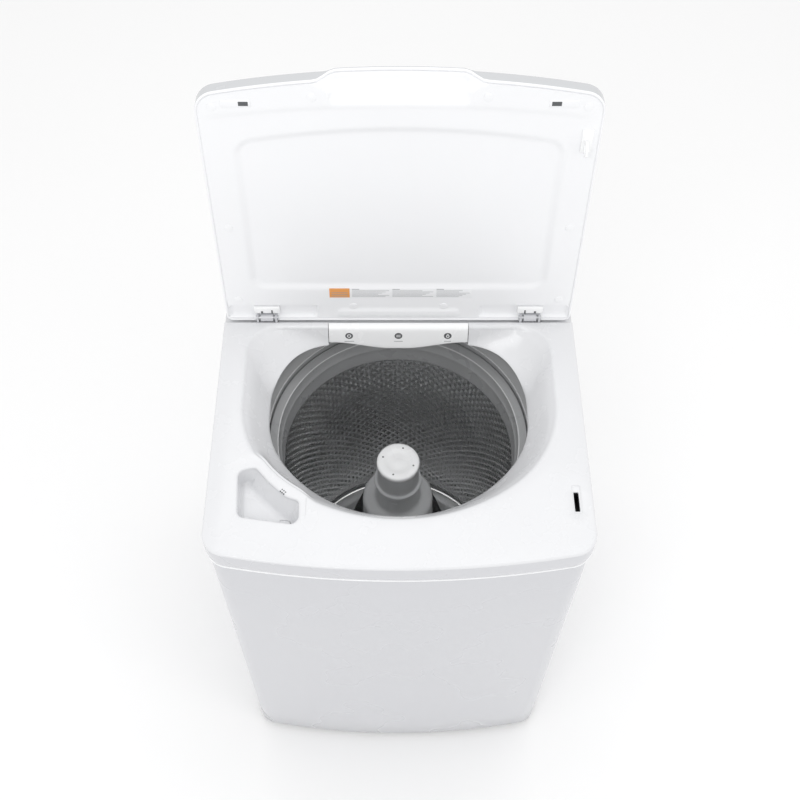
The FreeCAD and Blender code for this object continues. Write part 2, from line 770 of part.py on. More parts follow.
def make_tub_brackets():
    ears = []
    lean = math.degrees(math.atan2(mm(D.rod_y), mm(D.rod_x)))
    for x, y, angle in ((D.rod_x, D.rod_y, lean), (-D.rod_x, D.rod_y, 180 - lean),
                        (-D.rod_x, -D.rod_y, 180 + lean), (D.rod_x, -D.rod_y, -lean)):
        arm = doc.addObject("Part::Box", "arm")
        bind(arm, "Length", 200)
        bind(arm, "Width", 40)
        bind(arm, "Height", 8)
        turn = FreeCAD.Rotation(V(0, 0, 1), angle)
        corner = V(mm(x), mm(y) + mm(D.tub_y), mm(D.ear_z)) + turn.multVec(V(-182, -20, 0))
        arm.Placement = FreeCAD.Placement(corner, turn)
        hole = cylinder(D.rod_r + 3, 20, x, D.tub_y + y, D.ear_z - 5)
        tub = cylinder(D.tub_outer, 30, 0, D.tub_y, D.ear_z - 10)
        ears.append(cut(arm, hole, tub))
    keep(group(*ears), "tub_brackets")


def make_springs():
    springs = []
    low = mm(D.rod_low) + 8
    wire = 2.0
    gap = 0.4
    coil_r = 14
    turns = 7
    rise = mm(D.ear_z) - low - 2 * (wire + gap)
    for sx in (-1, 1):
        for sy in (-1, 1):
            helix = Part.makeHelix(rise / turns, rise, coil_r)
            ring = Part.Wire(Part.makeCircle(wire, V(coil_r, 0, 0), V(0, 1, 0)))
            coil = Part.Wire(helix).makePipeShell([ring], True, True)
            coil.translate(V(sx * mm(D.rod_x), mm(D.tub_y) + sy * mm(D.rod_y), low + wire + gap))
            springs.append(coil)
    keep(shaped(Part.makeCompound(springs)), "suspension_springs")


# ---- basket

def make_basket():
    outer = D.basket_outer
    floor = D.basket_floor
    wall = body_part("basket_wall", 0, D.tub_y)
    turned(wall, [(outer, D.basket_rim), (outer, floor + 6), (outer - 2, floor), (226, floor),
                  (226, floor + 1.2), (outer - 2.8, floor + 1.2), (outer - 1.2, floor + 6.6),
                  (outer - 1.2, D.basket_rim)])
    base = body_part("basket_base", 0, D.tub_y)
    turned(base, [(D.tube_outer, 232), (60, 232), (90, 240), (232, 240), (232, floor), (60, floor),
                  (45, floor + 12), (D.tube_outer, floor + 12)])
    rim = D.basket_rim
    ring = body_part("balance_ring", 0, D.tub_y)
    turned(ring, [(226.3, rim - 8), (235, rim - 8), (235, rim), (249, rim), (249, D.ring_top),
                  (234.4, D.ring_top), (229.3, rim + 28)])
    tube = body_part("spin_tube", 0, D.tub_y)
    turned(tube, [(D.shaft_r + D.fit, 96), (D.tube_outer, 96), (D.tube_outer, floor + 12),
                  (D.shaft_r + D.fit, floor + 12)])


# ---- agitator

def spun(points):
    """Turns a profile of (radius, height) points about the tub's axis."""
    corners = [V(mm(radius), 0, mm(height)) for radius, height in points]
    return Part.Face(Part.makePolygon(corners + corners[:1])).revolve(V(), V(0, 0, 1), 360)


def make_agitator():
    foot = D.agitator_foot
    skirt = D.agitator_skirt
    stem = D.stem_r
    lip = D.stem_top - 59
    shoulder = D.agitator_shoulder
    wide = D.shoulder_r
    body = spun([(skirt, foot), (skirt, foot + 7), (124, foot + 22), (98, foot + 62), (84, foot + 124),
                 (78, foot + 202), (wide, foot + 290), (wide, shoulder - 14), (wide - 5, shoulder - 6),
                 (52, shoulder), (47, shoulder + 5), (46, lip - 13), (49.3, lip - 6), (49.3, lip),
                 (stem, lip), (stem, D.stem_top), (stem - 4, D.stem_top), (stem - 4, shoulder - 7),
                 (wide - 7, shoulder - 12), (wide - 4, shoulder - 18), (wide - 4, foot + 290),
                 (74, foot + 202), (79.5, foot + 124), (93, foot + 59), (114, foot + 20),
                 (skirt - 12, foot + 2), (skirt - 12, foot)])
    hub = spun([(D.shaft_r, foot), (24, foot), (24, foot + 65), (94, foot + 65), (93, foot + 71),
                (24, foot + 71), (24, foot + 74), (D.shaft_r, foot + 74)])
    outline = [(155, foot + 6), (158, foot + 9), (150, foot + 24), (122, foot + 52), (104, foot + 110),
               (94, foot + 202), (wide + 10, foot + 290), (wide + 5, shoulder - 24),
               (wide - 2, shoulder - 20),
               (wide - 2, foot + 290), (76, foot + 202), (81.5, foot + 124), (95.5, foot + 62),
               (119, foot + 23)]
    corners = [V(mm(x), -3.5, mm(z)) for x, z in outline]
    vane = Part.Face(Part.makePolygon(corners + corners[:1])).extrude(V(0, 7, 0))
    vanes = []
    vane_count = 6
    for turn in range(vane_count):
        blade = vane.copy()
        blade.rotate(V(), V(0, 0, 1), 360 / vane_count * (turn + 0.5))
        vanes.append(blade)
    agitator = body.fuse([hub] + vanes)
    keep(shaped(agitator, FreeCAD.Placement(V(0, mm(D.tub_y), 0), FreeCAD.Rotation())), "agitator")

    bolt = body_part("agitator_bolt", 0, D.tub_y)
    turned(bolt, [(0, foot + 74), (16, foot + 74), (16, foot + 77), (9, foot + 77), (9, foot + 85),
                  (0, foot + 85)])

    cap = body_part("agitator_cap", 0, D.tub_y)
    top = D.stem_top
    turned(cap, [(0, top + 0.4), (34, top + 0.4), (34, top - 20), (stem - 4.6, top - 20),
                 (stem - 4.6, top + 0.4), (44, top + 0.4), (44, top + 9), (41, top + 12), (26, top + 12),
                 (20, top + 10.5), (0, top + 10.5)])
    holes = sketch_on(cap, "XY_Plane", top - 5)
    circle(holes, 33 * 0.92, 0, 2.2)
    hole = pocketed(cap, holes, 30)
    doc.recompute()
    repeated(cap, hole, 4)


# ---- drive

def make_drive():
    shaft = body_part("drive_shaft", 0, D.tub_y)
    turned(shaft, [(0, 62), (D.shaft_r, 62), (D.shaft_r, D.agitator_foot + 74), (0, D.agitator_foot + 74)])

    belt = D.belt_z
    groove = D.pulley_r
    pulley = body_part("drive_pulley", 0, D.tub_y)
    turned(pulley, [(D.shaft_r, belt - 10), (32, belt - 10), (32, belt - 3), (88, belt - 3), (88, belt - 10),
                    (groove + 5, belt - 10), (groove + 5, belt - 7), (groove, belt - 7), (groove, belt + 7),
                    (groove + 5, belt + 7), (groove + 5, belt + 10), (88, belt + 10), (88, belt + 3),
                    (32, belt + 3), (32, belt + 16), (D.shaft_r, belt + 16)])
    teeth = sketch_on(pulley, "XY_Plane", belt + 8)
    polygon(teeth, [(22, -3.4), (33, -3.4), (33, 3.4), (22, 3.4)])
    notch = pocketed(pulley, teeth, 9)
    doc.recompute()
    repeated(pulley, notch, 8)

    clutch = body_part("clutch_sleeve", 0, D.tub_y)
    inner = D.tube_outer + 0.3
    turned(clutch, [(inner, 122), (34, 122), (34, 114), (28, 112), (28, 104), (34, 102), (34, 99),
                    (inner, 99)])
    dogs = sketch_on(clutch, "XY_Plane", 94)
    polygon(dogs, [(23, -2.5), (31, -2.5), (31, 2.5), (23, 2.5)])
    dog = padded(clutch, dogs, 6)
    doc.recompute()
    repeated(clutch, dog, 8)

    actuator = box(74, 112, D.tub_y - 22, D.tub_y + 22, 100, 132)
    stem = box(38, 74, D.tub_y - 4, D.tub_y + 4, 118, 124)
    keep(fuse(actuator, stem), "shift_actuator")


def belt_loop(grow):
    """The belt's path round both pulleys, grow mm above the groove floors."""
    big = mm(D.pulley_r) + grow
    small = mm(D.motor_pulley_r) + grow
    span = V(mm(D.motor_x), mm(D.motor_y), 0)
    reach = span.Length
    tilt = math.degrees(math.acos((big - small) / reach))
    heading = math.degrees(math.atan2(span.y, span.x))
    def spot(centre, radius, angle):
        turn = math.radians(angle)
        return centre + V(math.cos(turn), math.sin(turn), 0) * radius
    zero = V(0, 0, 0)
    up, down = heading + tilt, heading - tilt
    return Part.Wire([
        arc(spot(zero, big, up), spot(zero, big, heading + 180), spot(zero, big, down)),
        Part.makeLine(spot(zero, big, down), spot(span, small, down)),
        arc(spot(span, small, down), spot(span, small, heading), spot(span, small, up)),
        Part.makeLine(spot(span, small, up), spot(zero, big, up)),
    ])


def make_motor():
    belt = prism(belt_loop(4.4), 0, 11).cut(prism(belt_loop(0.4), -1, 12))
    keep(shaped(belt, FreeCAD.Placement(V(0, mm(D.tub_y), mm(D.belt_z) - 5.5), FreeCAD.Rotation())),
         "drive_belt")

    y = D.tub_y + D.motor_y
    floor = D.motor_pulley_r
    belt_z = D.belt_z
    pulley = body_part("motor_pulley", D.motor_x, y)
    turned(pulley, [(0, belt_z - 10), (floor + 4, belt_z - 10), (floor + 4, belt_z - 7), (floor, belt_z - 7),
                    (floor, belt_z + 7), (floor + 4, belt_z + 7), (floor + 4, belt_z + 10), (7, belt_z + 10),
                    (7, 190), (0, 190)])
    motor = body_part("motor", D.motor_x, y)
    turned(motor, [(7 + D.fit, 98), (28, 98), (40, 104), (58, 110), (58, 192), (46, 204), (7 + D.fit, 204)])
    plate = box(-225, -80, 0, 140, 204, D.tub_floor)
    keep(cut(plate, cylinder(112, 20, 0, D.tub_y, 200)), "motor_bracket")


def make_pump():
    y = D.pump_y
    house = body_part("drain_pump", D.pump_x, y)
    turned(house, [(4 + D.fit, 104), (30, 104), (30, 150), (42, 150), (42, D.tub_floor), (14, D.tub_floor),
                   (14, 206), (36, 206), (36, 160), (4 + D.fit, 160)])
    nozzle = sketch_on(house, "XZ_Plane")
    circle(nozzle, 0, 183, 11)
    spout = padded(house, nozzle, 62)
    spout.Reversed = True
    mouth = sketch_on(house, "XZ_Plane")
    circle(mouth, 0, 183, 8)
    opened = pocketed(house, mouth, 70)
    opened.Reversed = False
    bowl = sketch_on(house, "XY_Plane", 160)
    circle(bowl, 0, 0, 36)
    pocketed(house, bowl, 46)

    impeller = body_part("pump_impeller", D.pump_x, y)
    turned(impeller, [(0, 110), (4, 110), (4, 164), (30, 164), (30, 167), (8, 167), (8, 192), (0, 192)])
    blade = sketch_on(impeller, "XY_Plane", 166)
    polygon(blade, [(6, -1.5), (30, -1.5), (30, 1.5), (6, 1.5)])
    vane = padded(impeller, blade, 22)
    doc.recompute()
    repeated(impeller, vane, 6)


def make_drain_hose():
    x = mm(D.pump_x)
    start = V(x, mm(D.pump_y) + 62, 183)
    rise_y = 300
    route = [start, V(x, rise_y, start.z), V(x, rise_y, DRAIN_Z), V(x, mm(D.back) - 5, DRAIN_Z)]
    bends = (50, 22)
    edges = []
    last = route[0]
    for i, radius in enumerate(bends, 1):
        corner = route[i]
        back = (route[i - 1] - corner).normalize()
        ahead = (route[i + 1] - corner).normalize()
        enter = corner + back * radius
        leave = corner + ahead * radius
        middle = corner + (back + ahead) * (radius * (1 - math.sqrt(0.5)))
        edges.append(Part.makeLine(last, enter))
        edges.append(arc(enter, middle, leave))
        last = leave
    edges.append(Part.makeLine(last, route[-1]))
    spine = Part.Wire(edges)
    tubes = []
    outside, inside = 12.5, 9.5
    for radius in (outside, inside):
        section = Part.Wire(Part.makeCircle(radius, start, V(0, 1, 0)))
        tubes.append(spine.makePipeShell([section], True, False))
    keep(shaped(tubes[0].cut(tubes[1])), "drain_hose")


def make_screws():
    screws = []
    for x in (-322, -110, 110, 322):
        for z in (60, 880):
            screws.append(cylinder(5, 3, x, D.back, z, ALONG_Y))
    for x in (-326, 326):
        screws.append(cylinder(5, 3, x, D.back, 470, ALONG_Y))
    keep(group(*screws), "rear_screws")


for build in (make_case, make_feet, make_corner_brackets, make_rods, make_deck, make_bleach_cup, make_lock,
              make_hinge_brackets, make_lid, make_hinge_covers, make_dispenser, make_console, make_knob,
              make_buttons, make_services, make_tub, make_bearing_housing, make_tub_brackets, make_springs,
              make_basket, make_agitator, make_drive, make_motor, make_pump, make_drain_hose, make_screws):
    build()
doc.recompute()

for thing in doc.Objects:
    if "Invalid" in thing.State or "Error" in thing.State:
        raise RuntimeError(f"{thing.Label} failed: {thing.State}")
for thing in made:
    if thing.Shape.isNull() or not thing.Shape.isValid():
        raise RuntimeError(f"{thing.Label} has no valid shape")

os.makedirs("parts", exist_ok=True)
for thing in made:
    thing.Shape.exportStep(f"parts/{thing.Label}.step")
    print(f"{thing.Label:22} solids {len(thing.Shape.Solids)}  volume {thing.Shape.Volume / 1000:.1f} cm3")
print(len(made), "sub-parts")
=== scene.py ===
"""Looks of the top load washing machine: shells, liner, rings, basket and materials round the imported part.

Lengths are written in millimetres and turned into metres where a mesh is made.
"""

import json
import math

import bmesh
import bpy
import numpy as np
from mathutils import Matrix, Vector
from mathutils.geometry import delaunay_2d_cdt


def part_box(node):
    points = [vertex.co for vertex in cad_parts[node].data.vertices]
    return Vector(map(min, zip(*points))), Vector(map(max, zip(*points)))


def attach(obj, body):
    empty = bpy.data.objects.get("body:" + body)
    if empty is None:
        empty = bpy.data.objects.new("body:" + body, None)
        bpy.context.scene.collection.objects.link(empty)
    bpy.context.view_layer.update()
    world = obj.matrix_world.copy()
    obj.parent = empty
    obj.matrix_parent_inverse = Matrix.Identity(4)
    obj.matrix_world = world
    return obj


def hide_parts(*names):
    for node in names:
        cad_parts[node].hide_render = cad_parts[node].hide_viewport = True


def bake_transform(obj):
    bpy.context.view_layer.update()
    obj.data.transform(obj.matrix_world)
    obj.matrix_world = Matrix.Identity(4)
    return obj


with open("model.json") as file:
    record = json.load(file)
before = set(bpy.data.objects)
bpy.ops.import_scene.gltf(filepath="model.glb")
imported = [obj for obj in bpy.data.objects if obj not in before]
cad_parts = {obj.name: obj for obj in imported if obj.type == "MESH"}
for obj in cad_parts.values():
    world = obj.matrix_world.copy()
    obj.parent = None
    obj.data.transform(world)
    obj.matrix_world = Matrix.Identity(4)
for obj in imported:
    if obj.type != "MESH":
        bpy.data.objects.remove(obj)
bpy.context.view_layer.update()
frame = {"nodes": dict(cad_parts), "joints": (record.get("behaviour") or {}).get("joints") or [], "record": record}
NODES = frame["nodes"]
MM = 0.001


# ---- sizes shared with the design

def node_mm(name):
    low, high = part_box(name)
    return [v / MM for v in low], [v / MM for v in high]


deck_low, deck_high = node_mm("top_deck")
TOP = deck_high[2]
SIDE = deck_high[0]
FRONT = deck_low[1]
REAR = deck_high[1]
BOW = 1750          # radius of the bowed front
CORNER = 45         # radius of the front corners
TUB_Y = -10         # the tub's centre line
TROUGH = 174        # y where the deck steps down to the hinge trough
STEP_Y = TROUGH - 2
DRAWER = 137.2      # half the width of the drawer's gap
HINGE = next(j for j in frame["joints"] if j["name"] == "lid_hinge")["pos_m"]
AXIS_Y = HINGE[1] / MM
AXIS_Z = HINGE[2] / MM
LEAN = 98           # how far the lid stands open, in degrees


# ---- camera, in metres

camera_data = bpy.data.cameras.new("camera")
camera_data.sensor_width = 36
camera_data.lens = 47.74
camera_data.shift_x = 0.0109
camera_data.clip_end = 50
camera = bpy.data.objects.new("camera", camera_data)
camera.location = (-0.014, -1.0918, TOP * MM + 1.6447)
camera.rotation_euler = (math.radians(33.38), 0, 0)
bpy.context.scene.collection.objects.link(camera)
bpy.context.scene.camera = camera


# ---- materials

MIX_A, MIX_B, MIX_RESULT = 6, 7, 2      # a Mix node's colour sockets, which share their names with others


def new_material(name, colour, rough, metallic=0.0):
    material = bpy.data.materials.new(name)
    material.use_nodes = True
    nodes = material.node_tree.nodes
    shader = nodes["Principled BSDF"]
    shader.inputs["Base Color"].default_value = (*colour, 1)
    shader.inputs["Roughness"].default_value = rough
    shader.inputs["Metallic"].default_value = metallic
    return material


def node(material, kind, **values):
    made = material.node_tree.nodes.new(kind)
    for key, value in values.items():
        if key in made.inputs:
            made.inputs[key].default_value = value
        else:
            setattr(made, key, value)
    return made


def link(material, a, b):
    material.node_tree.links.new(a, b)


def shader_of(material):
    return material.node_tree.nodes["Principled BSDF"]


def coordinates(material, stretch=(1, 1, 1)):
    spot = node(material, "ShaderNodeTexCoord")
    mapping = node(material, "ShaderNodeMapping")
    mapping.inputs["Scale"].default_value = stretch
    link(material, spot.outputs["Object"], mapping.inputs["Vector"])
    return mapping.outputs["Vector"]


def noise(material, vector, scale, detail=2.0, rough=0.5):
    made = node(material, "ShaderNodeTexNoise", Scale=scale, Detail=detail, Roughness=rough)
    link(material, vector, made.inputs["Vector"])
    return made.outputs["Fac"]


def ranged(material, value, low, high):
    """Stretches a noise's usual range, 0.3 to 0.7, to low to high."""
    made = node(material, "ShaderNodeMapRange")
    for socket, number in (("From Min", 0.3), ("From Max", 0.7), ("To Min", low), ("To Max", high)):
        made.inputs[socket].default_value = number
    link(material, value, made.inputs["Value"])
    return made.outputs["Result"]


def mixed(material, factor, a, b):
    made = node(material, "ShaderNodeMix", data_type="RGBA")
    link(material, factor, made.inputs["Factor"])
    made.inputs[MIX_A].default_value = (*a, 1)
    made.inputs[MIX_B].default_value = (*b, 1)
    return made.outputs[MIX_RESULT]


def bump(material, height, strength, distance):
    made = node(material, "ShaderNodeBump", Strength=strength, Distance=distance)
    link(material, height, made.inputs["Height"])
    return made.outputs["Normal"]


def drift(material, factor, low, high):
    """Lets the base colour drift between two colours."""
    colour = mixed(material, ranged(material, factor, 0, 1), low, high)
    link(material, colour, shader_of(material).inputs["Base Color"])


def coated(material, weight, rough):
    shader = shader_of(material)
    shader.inputs["Coat Weight"].default_value = weight
    shader.inputs["Coat Roughness"].default_value = rough


def moulded(name, colour, rough, grain, grain_scale, tint, coat=0.0):
    """Moulded plastic: a fine grain, faint flow marks in the gloss and a trace of colour drift."""
    material = new_material(name, colour, rough)
    shader = shader_of(material)
    where = coordinates(material)
    cloud = noise(material, where, 6, 3)
    drift(material, cloud, [max(0, c - tint) for c in colour], [min(1, c + tint) for c in colour])
    patches = noise(material, where, 22, 4)
    link(material, ranged(material, patches, rough * 0.85, rough * 1.15), shader.inputs["Roughness"])
    fine = noise(material, where, grain_scale, 2)
    link(material, bump(material, fine, grain, 0.0002), shader.inputs["Normal"])
    if coat:
        coated(material, coat, 0.08)
    return material


def enamel(name, colour, rough=0.28):
    """Painted sheet steel: a slight orange peel under the gloss."""
    material = new_material(name, colour, rough)
    shader = shader_of(material)
    where = coordinates(material)
    peel = noise(material, where, 90, 2)
    wave = noise(material, where, 5, 2)
    drift(material, wave, [c - 0.004 for c in colour], [min(1, c + 0.004) for c in colour])
    link(material, ranged(material, wave, rough * 0.9, rough * 1.1), shader.inputs["Roughness"])
    link(material, bump(material, peel, 0.02, 0.0001), shader.inputs["Normal"])
    coated(material, 0.3, 0.12)
    return material


def metal(name, colour, rough, stretch, scale, depth, spangle=0.0):
    """Metal with a drawn or cast texture: stretch gives the direction of the marks."""
    material = new_material(name, colour, rough, 1.0)
    shader = shader_of(material)
    where = coordinates(material, stretch)
    marks = noise(material, where, scale, 4, 0.6)
    link(material, ranged(material, marks, rough * 0.7, rough * 1.35), shader.inputs["Roughness"])
    cloud = noise(material, coordinates(material), 14, 3)
    drift(material, cloud, [c * (0.94 - spangle) for c in colour],
          [min(1, c * (1.04 + spangle)) for c in colour])
    link(material, bump(material, marks, depth, 0.0002), shader.inputs["Normal"])
    return material


DECK = moulded("deck_plastic", (0.74, 0.745, 0.76), 0.26, 0.03, 120, 0.006, 0.25)
WHITE = moulded("white_plastic", (0.93, 0.935, 0.94), 0.26, 0.06, 120, 0.006, 0.25)
LINER = moulded("liner_plastic", (0.89, 0.895, 0.91), 0.34, 0.06, 120, 0.006, 0.1)
# The enamel's grey is much darker than the case's white paint: painted shade for the front and sides of the case
# and the deck's front band.
PAINT = enamel("white_enamel_painted_shade", (0.60, 0.605, 0.63))
LID_PAINT = moulded("lid_plastic", (0.58, 0.59, 0.605), 0.24, 0.04, 120, 0.006, 0.3)
# A lighter grey for beads on the tub's ridges: painted highlight for their gloss.
RIDGE_HIGHLIGHT = moulded("ridge_highlight_plastic", (0.62, 0.625, 0.63), 0.24, 0.1, 500, 0.01, 0.3)
GREY = moulded("grey_plastic", (0.34, 0.345, 0.35), 0.30, 0.2, 500, 0.012, 0.1)
STEM = moulded("agitator_plastic", (0.56, 0.57, 0.58), 0.36, 0.2, 500, 0.012, 0.1)
PALE = moulded("pale_plastic", (0.62, 0.63, 0.64), 0.45, 0.25, 420, 0.015)
BLACK = moulded("black_plastic", (0.018, 0.018, 0.02), 0.42, 0.25, 500, 0.004)
RUBBER = moulded("rubber", (0.03, 0.03, 0.03), 0.72, 0.4, 380, 0.006)
HOSE = moulded("hose_rubber", (0.16, 0.165, 0.17), 0.55, 0.3, 300, 0.012)
BOARD = moulded("circuit_board", (0.02, 0.12, 0.06), 0.4, 0.2, 300, 0.01)
SATIN = moulded("console_face", (0.60, 0.61, 0.62), 0.33, 0.15, 650, 0.008, 0.15)
SILVER = moulded("knob_plastic", (0.55, 0.56, 0.58), 0.25, 0.12, 650, 0.01, 0.3)
# Dark print, and also the dark patches in the hinge bosses' slots, which are painted shade.
INK_AND_SLOT_SHADE = moulded("grey_print_and_slot_shade", (0.10, 0.105, 0.11), 0.5, 0.1, 300, 0.006)
FAINT = moulded("faint_print", (0.36, 0.37, 0.38), 0.5, 0.1, 300, 0.01)
ORANGE = moulded("orange_print", (0.80, 0.36, 0.12), 0.45, 0.1, 300, 0.02)
ZINC = metal("zinc_steel", (0.66, 0.67, 0.68), 0.42, (1, 1, 1), 60, 0.08, -0.02)
STAINLESS = metal("stainless_steel", (0.96, 0.96, 0.96), 0.15, (1, 1, 0.08), 500, 0.06)
CAST = metal("cast_aluminium", (0.60, 0.61, 0.62), 0.48, (1, 1, 1), 420, 0.35)
TURNED = metal("turned_steel", (0.56, 0.57, 0.58), 0.30, (1, 1, 6), 300, 0.12)

FINISH = {
    "painted_steel": PAINT, "plain_steel": ZINC, "rubber": RUBBER, "white_gloss": WHITE,
    "console_face": SATIN, "knob_plastic": SILVER, "grey_plastic": GREY, "tub_plastic": PALE,
    "black_plastic": BLACK, "hose_rubber": HOSE, "circuit_board": BOARD, "stainless": STAINLESS,
    "cast_aluminium": CAST, "bearing_steel": TURNED,
}
PAINTED = ("hinge_brackets", "hinge_arms")      # steel parts that are painted with the case
for row in frame["record"]["subparts"]:
    piece = NODES[row["node"]]
    piece.data.materials.clear()
    piece.data.materials.append(PAINT if row["node"] in PAINTED else FINISH[row["material_slot"]])


# ---- mesh helpers, all in millimetres

WELD = 0.01             # points nearer than this are one
CORNERS = ((-1, -1), (1, -1), (1, 1), (-1, 1))


def smooth(low, high, value):
    """0 before low and 1 after high, with an even step between."""
    t = min(1.0, max(0.0, (value - low) / (high - low)))
    return t * t * (3 - 2 * t)


def between(a, b, t):
    return a + (b - a) * t


def raised(profile, base):
    """A profile of (sideways, height) with its heights counted from base."""
    return [(side, base + z) for side, z in profile]


def lid_frame(points):
    """Swings points from the closed lid to where the lid stands open."""
    centre = Vector((0, AXIS_Y, AXIS_Z))
    turn = Matrix.Translation(centre) @ Matrix.Rotation(math.radians(-LEAN), 4, "X")
    turn = turn @ Matrix.Translation(-centre)
    return [turn @ p for p in points]


def inside(points, loops):
    """For each point, whether it is in the region that the loops bound, with holes left out."""
    x, y = points[:, 0], points[:, 1]
    found = np.zeros(len(points), bool)
    for loop in loops:
        corners = np.array([(p[0], p[1]) for p in loop])
        for (ax, ay), (bx, by) in zip(corners, np.roll(corners, -1, 0)):
            if ay == by:
                continue
            crosses = (ay > y) != (by > y)
            found ^= crosses & (x < (bx - ax) * (y - ay) / (by - ay) + ax)
    return found


def far_from(points, loops, gap):
    """For each point, whether every loop is more than gap away."""
    keep = np.ones(len(points), bool)
    for loop in loops:
        corners = np.array([(p[0], p[1]) for p in loop])
        for a, b in zip(corners, np.roll(corners, -1, 0)):
            along = b - a
            size = along @ along
            if size < 1e-12:
                continue
            t = np.clip(((points - a) @ along) / size, 0, 1)
            near = a + t[:, None] * along
            keep &= ((points - near) ** 2).sum(1) > gap * gap
    return keep


class Shape:
    """Collects the points and faces of one piece."""

    def __init__(self):
        self.points = []
        self.faces = []

    def add(self, points):
        start = len(self.points)
        self.points.extend(Vector(p) for p in points)
        return list(range(start, len(self.points)))

    def rows(self, rows, closed=False):
        rings = [self.add(row) for row in rows]
        for a, b in zip(rings, rings[1:]):
            count = len(a)
            for i in range(count if closed else count - 1):
                j = (i + 1) % count
                self.faces.append((a[i], a[j], b[j], b[i]))
        return rings

    def join(self, points, faces):
        """Adds a mesh made elsewhere."""
        index = self.add(points)
        self.faces += [tuple(index[i] for i in face) for face in faces]

    def fill(self, loops, height, spacing=0.0, extra=()):
        """Fills the flat region between loops, with inner points every spacing mm, at height(x, y)."""
        flat = []
        edges = []
        for loop in loops:
            start = len(flat)
            flat.extend(Vector((p[0], p[1])) for p in loop)
            edges += [(start + i, start + (i + 1) % len(loop)) for i in range(len(loop))]
        if spacing:
            corners = np.array([(p[0], p[1]) for p in loops[0]])
            low, high = corners.min(0), corners.max(0)
            across = np.arange(low[0] + spacing / 2, high[0], spacing)
            along = np.arange(low[1] + spacing / 2, high[1], spacing)
            grid = np.array(np.meshgrid(across, along)).reshape(2, -1).T
            grid = grid[inside(grid, loops)]
            grid = grid[far_from(grid, loops, spacing * 0.55)]
            flat.extend(Vector(p) for p in grid)
        if extra:
            more = np.array(extra, float)
            more = more[inside(more, loops)]
            flat.extend(Vector(p) for p in more[far_from(more, loops, 1.2)])
        spots, _, faces, *_ = delaunay_2d_cdt(flat, edges, [], 0, 1e-4)
        centres = np.array([sum((spots[i] for i in f), Vector((0, 0))) / len(f) for f in faces])
        wanted = inside(centres, loops)
        self.join([(p.x, p.y, height(p.x, p.y)) for p in spots], [f for f, use in zip(faces, wanted) if use])

    def turned(self, profile, steps, centre=(0, TUB_Y)):
        """Turns a profile of (radius, height) about a vertical line through centre."""
        angles = [math.radians(360.0 * i / steps) for i in range(steps)]
        self.rows([[(centre[0] + radius * math.cos(a), centre[1] + radius * math.sin(a), z) for a in angles]
                   for radius, z in profile], True)

    def close(self, rings):
        """Caps both ends of a tube of rings."""
        self.faces += [tuple(rings[-1]), tuple(reversed(rings[0]))]

    def block(self, x0, x1, y0, y1, z0, z1, round_by):
        """A block with every edge rounded."""
        bm = bmesh.new()
        bmesh.ops.create_cube(bm, size=1)
        size = Vector((x1 - x0, y1 - y0, z1 - z0))
        middle = Vector((x0 + x1, y0 + y1, z0 + z1)) / 2
        for vert in bm.verts:
            vert.co = Vector(a * b for a, b in zip(vert.co, size)) + middle
        if round_by > 0:
            bmesh.ops.bevel(bm, geom=list(bm.edges), offset=min(round_by, min(size) * 0.49),
                            segments=3, profile=0.5, affect="EDGES")
        bm.verts.index_update()
        self.join([vert.co.copy() for vert in bm.verts], [[v.index for v in face.verts] for face in bm.faces])
        bm.free()

    def tube(self, route, radius, steps):
        """A round tube along a route of points, with its radius given for each."""
        path = [Vector(p) for p in route]
        rows = []
        side = None
        for i, here in enumerate(path):
            ahead = (path[min(i + 1, len(path) - 1)] - path[max(i - 1, 0)]).normalized()
            if side is None:
                side = ahead.orthogonal().normalized()
            side = (side - ahead * side.dot(ahead)).normalized()
            other = ahead.cross(side)
            rows.append([here + (side * math.cos(a) + other * math.sin(a)) * radius(i)
                         for a in (2 * math.pi * k / steps for k in range(steps))])
        rings = self.rows(rows, True)
        self.faces += [tuple(rings[0]), tuple(reversed(rings[-1]))]

    def moved(self, change, start=0):
        self.points[start:] = change(self.points[start:])

    def make(self, name, material, body="cabinet", replaces=(), angle=38):
        """Makes the piece, smooth but for edges sharper than angle, on a body or, with None, on none."""
        mesh = bpy.data.meshes.new(name)
        bm = bmesh.new()
        spots = [bm.verts.new(p * MM) for p in self.points]
        for face in self.faces:
            if len(set(face)) == len(face) > 2:
                try:
                    bm.faces.new([spots[i] for i in face])
                except ValueError:
                    continue
        bmesh.ops.remove_doubles(bm, verts=bm.verts, dist=WELD * MM)
        bmesh.ops.delete(bm, geom=[v for v in bm.verts if not v.link_faces], context="VERTS")
        bmesh.ops.recalc_face_normals(bm, faces=bm.faces)
        bm.to_mesh(mesh)
        bm.free()
        mesh.shade_smooth()
        mesh.set_sharp_from_angle(angle=math.radians(angle))
        mesh.materials.append(material)
        piece = bpy.data.objects.new(name, mesh)
        bpy.context.scene.collection.objects.link(piece)
        if body:
            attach(piece, body)
        if replaces:
            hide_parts(*replaces)
        return piece

    def make_on_lid(self, name, material, replaces=(), angle=38):
        """Swings the closed lid's piece to where the lid stands open, and makes it."""
        self.moved(lid_frame)
        self.make(name, material, "lid", replaces, angle)


def thicken(piece, thickness, side):
    """Gives a sheet its thickness, centred on it for side 0, all inside it for side -1."""
    sheet = piece.modifiers.new("sheet", "SOLIDIFY")
    sheet.thickness = thickness * MM
    sheet.offset = side


